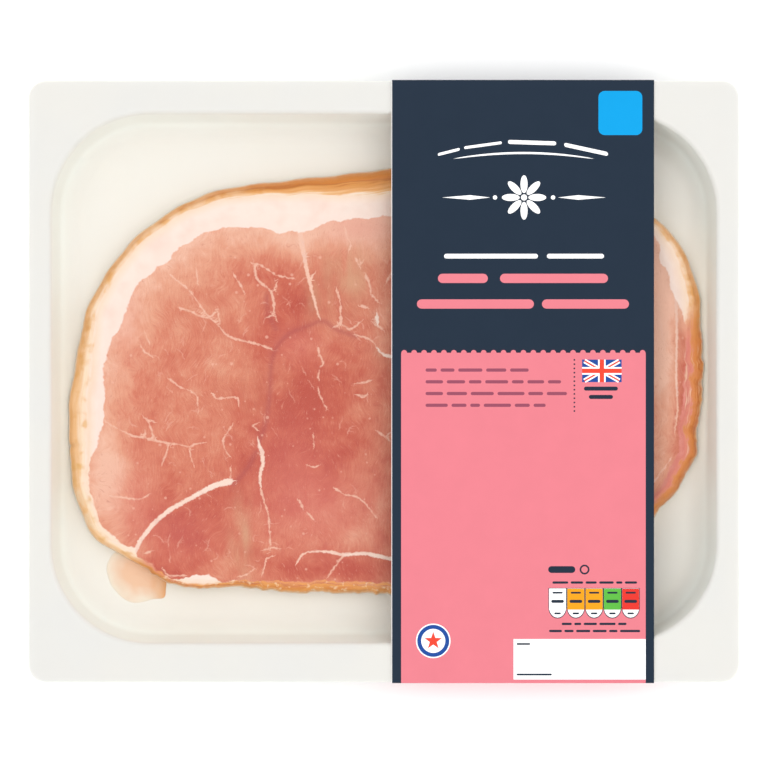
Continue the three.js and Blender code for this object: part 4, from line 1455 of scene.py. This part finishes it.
def sleeve_section(out):
    """The section as one closed run of points, from the middle of the bottom panel round by -Y,
    over the top to +Y and back, with its folds rounded."""
    plus, minus = sleeve_corners(out)
    corners = minus[::-1] + plus
    folds = [FOOT_FOLD, LOW_FOLD, TOP_FOLD, TOP_FOLD, LOW_FOLD, FOOT_FOLD]
    from_outside = SLEEVE_CARD - out
    run = [(0.0, from_outside)]
    for number, corner in enumerate(corners):
        before, after = corners[number - 1], corners[(number + 1) % len(corners)]
        run += fold_round(before, corner, after, folds[number] - from_outside)
    run.append((0.0, from_outside))
    return np.array(run)


# ---- Card sleeve: its print ----

# Each field of colour is a shape on the flattened card: x along the pack, and v round the card,
# which is y on the top panel.
NAVY, PINK, WHITE, SKY, RED_ORANGE, FLAG_BLUE, AMBER, GREEN, RED, ROSE, BOARD = range(11)


def place_round(x, y, angle, radius_x, radius_y=None):
    """The place at an angle on a circle or an ellipse."""
    radius_y = radius_x if radius_y is None else radius_y
    return (x + radius_x * math.cos(angle), y + radius_y * math.sin(angle))


def box_shape(x0, x1, y0, y1, radius=0.0, steps=5):
    if radius <= 0:
        return [(x0, y0), (x1, y0), (x1, y1), (x0, y1)]
    left, right, low, high = x0 + radius, x1 - radius, y0 + radius, y1 - radius
    shape = []
    for corner, (x, y) in enumerate([(right, high), (left, high), (left, low), (right, low)]):
        for step in range(steps + 1):
            shape.append(place_round(x, y, (corner + step / steps) * math.pi / 2, radius))
    return shape


def dash_shape(x0, x1, y, height):
    return box_shape(x0, x1, y - height / 2, y + height / 2, height / 2, 4)


def disc_shape(x, y, radius_x, radius_y=None, sides=24):
    return [place_round(x, y, i / sides * math.tau, radius_x, radius_y) for i in range(sides)]


def star_shape(x, y, outer, inner, points):
    return [
        place_round(x, y, math.pi / 2 + i * math.pi / points, inner if i % 2 else outer)
        for i in range(2 * points)
    ]


def bowed_stroke(x0, x1, y_end, rise, half, steps=24):
    """A stroke that bows up between two ends and comes to a point at each."""
    upper, lower = [], []
    for step in range(steps + 1):
        share = step / steps
        x = x0 + (x1 - x0) * share
        bow = 4 * share * (1 - share)
        y = y_end + rise * bow
        thick = half * math.sqrt(bow)
        upper.append((x, y + thick))
        lower.append((x, y - thick))
    return upper + lower[-2:0:-1]


# Boxes are x from, x to, v from, v to, and dashes are x from, x to, v, height.
SKY_SQUARE = (69.5, 83.7, 79.8, 94.1)
SKY_SQUARE_CORNER = 2.0
ARCH_STROKE = (22.4, 68.1, 72.1, 1.9, 0.34)
ARCH_MIDDLE, ARCH_HALF_SPAN = 45, 27.5
ARCH_FOOT, ARCH_RISE = 73.4, 4.0
ARCH_DASHES = [(17.5, 24.6, 0.9), (26, 38.2, 0.9), (40.2, 55.8, 1.3), (58.4, 72.6, 1.3)]  # no v
WHITE_DASHES = [(19.5, 49.9, 40.6, 1.5), (52.8, 71.3, 40.6, 1.5)]
PINK_DASHES = [(17.5, 33.7, 33.4, 3.0), (37.6, 72.6, 33.4, 3.0), (10.7, 48.6, 25.1, 3.0),
               (51.2, 79.4, 25.1, 3.0)]
ROSE_ROWS = [(13.5, 46.9, 3.7), (13.5, 57.4, -0.1), (13.5, 59.3, -3.9), (13.5, 52.4, -7.7)]
NAVY_ROWS = [(54.6, 82.0, -65.1), (57.6, 78.6, -78.5), (53.5, 83.0, -80.8)]
ROSE_WORDS = (1.05, 9.0, 1.2)  # these three are height, length of the longest, and gap
NAVY_WORDS = (0.75, 5.5, 0.8)
UNDER_WORDS = (0.9, 9.0, 1.2)
DOTS = 13
FIRST_DOT = (61.7, 7.0)
DOT_PITCH = 1.38
DOT_RADIUS = 0.3
FLAG_BOX = (64.2, 77.0, -0.2, 7.1)
DASHES_BY_FLAG = [(64.8, 75.8, -2.3, 1.3), (66.4, 74.2, -5.0, 1.3)]
DASH_OVER_TABS = (53.2, 62.0, -60.9, 2.2)
RING_OVER_TABS = (65.0, -60.9)
RING_OUTER, RING_INNER = 1.6, 1.05
WHITE_PANEL = (42.0, 84.8, -96.5, -83.4)
PANEL_DASHES = [(43.0, 47.4, -85.0, 0.6), (43.0, 54.4, -94.9, 0.6)]
SEAL_CENTRE = (16.0, -84.0)
WORD_SEED = 3

SCALLOPS = 25
SCALLOP_PITCH = 3.217
SCALLOP_RADIUS = 0.92
SCALLOP_STEPS = 8
PINK_FROM, PINK_TO = 5.6, 84.8
PINK_TOP = 9.3


def word_dashes(x0, x1, y, height, longest, gap, draw):
    """A line of print, as a row of dashes as long as words."""
    dashes = []
    x = x0
    while x < x1 - height * 2:
        end = min(x + draw.uniform(0.35, 1.0) * longest, x1)
        if x1 - end < height * 3:
            end = x1
        dashes.append(dash_shape(x, end, y, height))
        x = end + gap
    return dashes


def pink_field(v_low):
    first = PINK_FROM + (PINK_TO - PINK_FROM - SCALLOPS * SCALLOP_PITCH) / 2 + SCALLOP_PITCH / 2
    shape = [(PINK_FROM, v_low), (PINK_TO, v_low), (PINK_TO, PINK_TOP)]
    for number in reversed(range(SCALLOPS)):
        middle = first + number * SCALLOP_PITCH
        for step in range(SCALLOP_STEPS + 1):
            shape.append(place_round(middle, PINK_TOP, step / SCALLOP_STEPS * math.pi, SCALLOP_RADIUS))
    shape.append((PINK_FROM, PINK_TOP))
    return shape


def crossed_flag(x0, x1, y0, y1):
    """The flag of crosses, in fields of colour. Its bars' widths are shares of its height."""
    width, height = x1 - x0, y1 - y0
    cx, cy = (x0 + x1) / 2, (y0 + y1) / 2
    fields = [(FLAG_BLUE, box_shape(x0, x1, y0, y1))]

    def diagonal(from_x, from_y, to_x, to_y, half_wide):
        slope = math.hypot(to_x - from_x, to_y - from_y)
        across_x = -(to_y - from_y) / slope * half_wide
        across_y = (to_x - from_x) / slope * half_wide
        return [
            (from_x + across_x, from_y + across_y),
            (from_x - across_x, from_y - across_y),
            (to_x - across_x, to_y - across_y),
            (to_x + across_x, to_y + across_y),
        ]

    corner_gap = 0.06  # of the way along, so that the bars stay inside the flag
    for low, high in ((y0, y1), (y1, y0)):
        gap_x, gap_y = width * corner_gap, (high - low) * corner_gap
        ends = (x0 + gap_x, low + gap_y, x1 - gap_x, high - gap_y)
        fields.append((WHITE, diagonal(*ends, height * 0.1)))
        fields.append((RED_ORANGE, diagonal(*ends, height * 0.035)))
    for colour, share in ((WHITE, 6), (RED_ORANGE, 10)):
        fields.append((colour, box_shape(x0, x1, cy - height / share, cy + height / share)))
        fields.append((colour, box_shape(cx - height / share, cx + height / share, y0, y1)))
    return fields


def arch_level(x):
    """The v of the row of dashes that bows over the card."""
    return ARCH_FOOT + ARCH_RISE * (1 - ((x - ARCH_MIDDLE) / ARCH_HALF_SPAN) ** 2)


def arched_dashes():
    fields = []
    for x0, x1, height in ARCH_DASHES:
        middle = (x0 + x1) / 2
        tilt = (arch_level(x1) - arch_level(x0)) / (x1 - x0)
        dash = dash_shape(x0, x1, 0, height)
        fields.append((WHITE, [(x, arch_level(middle) + tilt * (x - middle) + y) for x, y in dash]))
    return fields


def print_fields(v_low):
    """The print on the top panel, and on the side down to v_low."""
    draw = np.random.default_rng(WORD_SEED)
    fields = [(PINK, pink_field(v_low))]
    fields.append((SKY, box_shape(*SKY_SQUARE, SKY_SQUARE_CORNER)))
    fields.append((WHITE, bowed_stroke(*ARCH_STROKE)))
    fields += arched_dashes()
    fields += rosette_with_rules()
    fields += [(WHITE, dash_shape(*dash)) for dash in WHITE_DASHES]
    fields += [(PINK, dash_shape(*dash)) for dash in PINK_DASHES]

    # Small print on the pink.
    for row in ROSE_ROWS:
        fields += [(ROSE, dash) for dash in word_dashes(*row, *ROSE_WORDS, draw)]
    for dot in range(DOTS):
        v = FIRST_DOT[1] - DOT_PITCH * dot
        fields.append((NAVY, disc_shape(FIRST_DOT[0], v, DOT_RADIUS, sides=8)))
    fields += crossed_flag(*FLAG_BOX)
    fields += [(NAVY, dash_shape(*dash)) for dash in [*DASHES_BY_FLAG, DASH_OVER_TABS]]
    fields.append((NAVY, disc_shape(*RING_OVER_TABS, RING_OUTER)))
    fields.append((PINK, disc_shape(*RING_OVER_TABS, RING_INNER)))
    for row in NAVY_ROWS:
        fields += [(NAVY, dash) for dash in word_dashes(*row, *NAVY_WORDS, draw)]
    fields += coloured_tabs()
    fields.append((WHITE, box_shape(*WHITE_PANEL)))
    fields += [(NAVY, dash_shape(*dash)) for dash in PANEL_DASHES]
    fields += round_seal(*SEAL_CENTRE)
    return fields


ROSETTE_CENTRE = (45.4, 59.6)
PETALS = 8
PETAL_OUT = 4.3
PETAL = (2.9, 1.15)
RULE = [(11.0, 0.0), (17.5, 0.75), (26.5, 0.0), (17.5, -0.75)]
RULE_DOT_OUT = 9.4


def rosette_with_rules():
    """A plain rosette between two tapering rules."""
    middle, level = ROSETTE_CENTRE
    fields = []
    for petal in range(PETALS):
        angle = petal / PETALS * math.tau
        cos, sin = math.cos(angle), math.sin(angle)
        cx, cy = place_round(middle, level, angle, PETAL_OUT)
        oval = disc_shape(0, 0, *PETAL, 20)
        fields.append((WHITE, [(cx + x * cos - y * sin, cy + x * sin + y * cos) for x, y in oval]))
    fields.append((WHITE, disc_shape(middle, level, 1.0, sides=20)))
    for side in (-1, 1):
        fields.append((WHITE, [(middle + side * x, level + y) for x, y in RULE][::side]))
        fields.append((WHITE, disc_shape(middle + side * RULE_DOT_OUT, level, 0.7, sides=16)))
    return fields


TABS_FROM, TAB_PITCH = 53.3, 5.92
TAB_TOP, TAB_ROUND_FROM, TAB_COLOUR_TO = -66.9, -73.2, -73.9
TAB_BORDER = (0.93, 0.955)  # the white inside the border is this share of the tab
TAB_COLOUR_INSET = (0.22, 0.2)
TAB_DASHES = [(1.3, -68.4, 0.6), (0.9, -71.2, 1.0), (1.9, -75.1, 0.6)]  # inset, v, height


def coloured_tabs():
    """Five coloured tabs in a row, square at the top and round below."""
    fields = []
    for number, colour in enumerate((WHITE, AMBER, AMBER, GREEN, RED)):
        x0, x1 = TABS_FROM + number * TAB_PITCH, TABS_FROM + (number + 1) * TAB_PITCH
        cx, cy = (x0 + x1) / 2, (TAB_TOP + TAB_ROUND_FROM) / 2
        radius = TAB_PITCH / 2
        outline = [(x0, TAB_ROUND_FROM), (x0, TAB_TOP), (x1, TAB_TOP), (x1, TAB_ROUND_FROM)]
        for step in range(1, 12):
            outline.append(place_round(cx, TAB_ROUND_FROM, -step / 12 * math.pi, radius, 1.2 * radius))
        fields.append((NAVY, outline[::-1]))
        inner = [(cx + (x - cx) * TAB_BORDER[0], cy + (y - cy) * TAB_BORDER[1]) for x, y in outline]
        fields.append((WHITE, inner[::-1]))
        inset, below = TAB_COLOUR_INSET
        fields.append((colour, box_shape(x0 + inset, x1 - inset, TAB_COLOUR_TO, TAB_TOP - below)))
        for inset, v, height in TAB_DASHES:
            fields.append((NAVY, dash_shape(x0 + inset, x1 - inset, v, height)))
    return fields


def round_seal(x, y):
    """A plain round seal with a star."""
    return [
        (WHITE, disc_shape(x, y, 5.6, sides=40)),
        (FLAG_BLUE, disc_shape(x, y, 5.2, sides=40)),
        (WHITE, disc_shape(x, y, 3.9, sides=36)),
        (RED_ORANGE, star_shape(x, y, 3.0, 1.2, 5)),
    ]


UNDER_PANEL = (14, 76)  # along x
UNDER_PANEL_FROM, UNDER_PANEL_TO = 60, 8  # before the end of the flattened card
UNDER_PANEL_CORNER = 2.0
UNDER_ROWS_INSET = (5, 4)
UNDER_ROW_FROM = 18
UNDER_ROW_TO = (60, 72)
UNDER_ROW_PITCH = 4.0


def underside_fields(v_end):
    """A bare white panel under the pack, with a few lines of print."""
    low, high = v_end - UNDER_PANEL_FROM, v_end - UNDER_PANEL_TO
    fields = [(WHITE, box_shape(*UNDER_PANEL, low, high, UNDER_PANEL_CORNER))]
    draw = np.random.default_rng(WORD_SEED + 1)
    first, last = low + UNDER_ROWS_INSET[0], high - UNDER_ROWS_INSET[1]
    for v in np.arange(first, last, UNDER_ROW_PITCH):
        row = word_dashes(UNDER_ROW_FROM, draw.uniform(*UNDER_ROW_TO), v, *UNDER_WORDS, draw)
        fields += [(NAVY, dash) for dash in row]
    return fields


# ---- Card sleeve: the card with its print ----

CUT_MARGIN = 0.15  # the cut edge at its left shows the white of the card
SAME_PLACE = 1e-3


def inside_shape(px, py, shape):
    inside = np.zeros(px.shape, dtype=bool)
    for (ax, ay), (bx, by) in zip(shape, shape[1:] + shape[:1]):
        if ay != by:
            crosses = (ay > py) != (by > py)
            inside ^= crosses & (px < (bx - ax) * (py - ay) / (by - ay) + ax)
    return inside


def cut_into_cells(fields, folds):
    """Cuts the flattened card along each border of colour and each fold. Gives its places, its
    cells, and the colour of each, which is that of the last field over it."""
    places, edges = [], []
    for _, shape in fields:
        start = len(places)
        places += shape
        edges += [(start + i, start + (i + 1) % len(shape)) for i in range(len(shape))]
    for v in folds:
        edges.append((len(places), len(places) + 1))
        places += [(SLEEVE_FROM, v), (SLEEVE_TO, v)]
    cut = delaunay_2d_cdt(places, edges, [], 0, 1e-4)
    flat = np.array([(p[0], p[1]) for p in cut[0]])
    cells = [tuple(face) for face in cut[2]]
    middles = np.array([flat[list(cell)].mean(axis=0) for cell in cells])
    colours = np.zeros(len(cells), dtype=int)
    for colour, shape in fields:
        colours[inside_shape(middles[:, 0], middles[:, 1], shape)] = colour
    return flat, cells, colours


def make_sleeve(materials):
    outer, inner = sleeve_section(SLEEVE_CARD), sleeve_section(0.0)
    way = np.concatenate([[0], np.cumsum(np.hypot(*np.diff(outer, axis=0).T))])
    on_top = next(i for i in range(len(outer)) if outer[i][1] > FILM_TOP + SLEEVE_CARD - 1e-6)
    v = way + (outer[on_top][0] - way[on_top])
    fields = [(NAVY, box_shape(SLEEVE_FROM, SLEEVE_TO, v[0], v[-1]))]
    fields += print_fields(v[FOLD_STEPS])
    fields.append((WHITE, box_shape(SLEEVE_FROM, SLEEVE_FROM + CUT_MARGIN, v[0], v[-1])))
    fields += underside_fields(v[-1])
    flat, cells, colours = cut_into_cells(fields, v[1:-1])
    flat_x, flat_v = flat.T
    wrapped = [np.interp(flat_v, v, part) for part in outer.T]
    outside = np.column_stack([flat_x, *wrapped])

    # The first and last row of the flattened card are one line under the pack: they are joined.
    first = {round(flat_x[i], 3): i for i in range(len(flat)) if abs(flat_v[i] - v[0]) < SAME_PLACE}
    joined = list(range(len(flat)))
    for i in range(len(flat)):
        if abs(flat_v[i] - v[-1]) < SAME_PLACE:
            joined[i] = first.get(round(flat_x[i], 3), i)
    printed = [tuple(joined[i] for i in cell) for cell in cells]

    # The inner face and the two cut edges are bare board.
    ring = len(outer) - 1
    inside = [(x, y, z) for x in (SLEEVE_FROM, SLEEVE_TO) for y, z in inner[:-1]]
    left, right = len(flat), len(flat) + ring
    board = [(left + i, right + i, right + (i + 1) % ring, left + (i + 1) % ring) for i in range(ring)]
    for x, base, turned in ((SLEEVE_FROM, left, True), (SLEEVE_TO, right, False)):
        on_edge = [i for i in range(len(flat)) if abs(flat_x[i] - x) < SAME_PLACE]
        border = sorted((flat_v[i], joined[i]) for i in on_edge)
        for k in range(ring):
            low, high = v[k] - SAME_PLACE, v[k + 1] + SAME_PLACE
            face = [number for place, number in border if low <= place <= high]
            face += [base + (k + 1) % ring, base + k]
            board.append(tuple(face[::-1] if turned else face))
    points = np.vstack([outside, inside])
    face_colours = colours.tolist() + [BOARD] * len(board)
    piece = make_piece("card_band", points, printed + board, materials, face_colours, sharp=CARD_CRISP_TURN)
    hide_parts("sleeve")
    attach(piece, "root")


INKS = {
    NAVY: ("navy_ink", "1c2a3a"),
    PINK: ("pink_ink", "da7984"),
    WHITE: ("bare_white_card", "ffffff"),
    SKY: ("sky_ink", "0098d7"),
    RED_ORANGE: ("red_orange_ink", "de4431"),
    FLAG_BLUE: ("blue_ink", "1c4893"),
    AMBER: ("amber_ink", "e89917"),
    GREEN: ("green_ink", "58ae40"),
    RED: ("red_ink", "d8342b"),
    ROSE: ("rose_ink", "8f495d"),
}
CARD_IOR = 1.45
VARNISH_LEVEL = 0.12  # 0.5 would be the full mirror of that IOR
CARD_FIBRE = 0.6  # card fibre is finer, but would not show
CARD_FIBRE_DEPTH = 0.02
CARD_ROUGHNESS = (0.36, 0.46)
INK_MOTTLE = 7.0
BOARD_DARK, BOARD_LIGHT = "d9d4c9", "eae8e2"
BOARD_FIBRE = 0.8
BOARD_ROUGHNESS = 0.85


def printed_card(name, shade):
    """Coated white carton board, offset printed and varnished: an even field of ink with a very
    slight cloudiness, a satin gloss, and the board's fibre just felt through the coating."""
    material, tree, surface = start_material(name, IOR=CARD_IOR, Specular_IOR_Level=VARNISH_LEVEL)
    place = add_node(tree, "ShaderNodeNewGeometry").outputs["Position"]
    fibre = add_node(
        tree, "ShaderNodeTexNoise", {"Vector": place, "Scale": 1 / (CARD_FIBRE * MM), "Detail": 3.0}
    ).outputs["Fac"]
    cloud = add_node(
        tree, "ShaderNodeTexNoise", {"Vector": place, "Scale": 1 / (INK_MOTTLE * MM), "Detail": 2.0}
    ).outputs["Fac"]
    base = linear(shade)
    lighter = tuple(min(1.0, c * 1.03 + 0.001) for c in base[:3]) + (1,)
    darker = tuple(c * 0.965 for c in base[:3]) + (1,)
    colour = lay_over(tree, darker, [(cloud, 0, 1, 1, lighter)])
    low, high = CARD_ROUGHNESS
    rough = add_node(tree, "ShaderNodeMapRange", {"Value": fibre, "To Min": low, "To Max": high})
    bump = add_node(
        tree,
        "ShaderNodeBump",
        {"Height": fibre, "Distance": CARD_FIBRE_DEPTH * MM, "Strength": 0.35},
    )
    connect(tree, surface, {"Base Color": colour, "Roughness": rough, "Normal": bump})
    return material


def bare_board():
    """The uncoated side and cut edges of carton board: matt, off-white, with visible fibre."""
    material, tree, surface = start_material("bare_board", Roughness=BOARD_ROUGHNESS)
    place = add_node(tree, "ShaderNodeNewGeometry").outputs["Position"]
    fibre = add_node(
        tree, "ShaderNodeTexNoise", {"Vector": place, "Scale": 1 / (BOARD_FIBRE * MM), "Detail": 5.0}
    ).outputs["Fac"]
    colour = lay_over(tree, linear(BOARD_DARK), [(fibre, 0, 1, 1, linear(BOARD_LIGHT))])
    connect(tree, surface, {"Base Color": colour})
    return material


# ---- Floor ----

STUDIO_HALF = 3000.0
STUDIO_GAP = 0.05  # the studio's floor lies this much lower than the sleeve's foot


def lay_floor():
    """The white paper that the studio's floor is laid with: dead matt."""
    half, z = STUDIO_HALF, -STUDIO_GAP
    points = [(-half, -half, z), (half, -half, z), (half, half, z), (-half, half, z)]
    material, _, _ = start_material(
        "studio_floor", Base_Color=(1, 1, 1, 1), Roughness=0.9, Specular_IOR_Level=0.0
    )
    floor = make_piece("floor", points, [(0, 1, 2, 3)], [material])


# ---- The pack ----

hang_camera()
light_studio()
lay_floor()
make_tray(polypropylene_sheet())
make_steak(cured_meat())
make_flap(loose_back_fat())
make_lid_film(clear_peel_film())
make_sleeve([printed_card(*INKS[number]) for number in range(BOARD)] + [bare_board()])
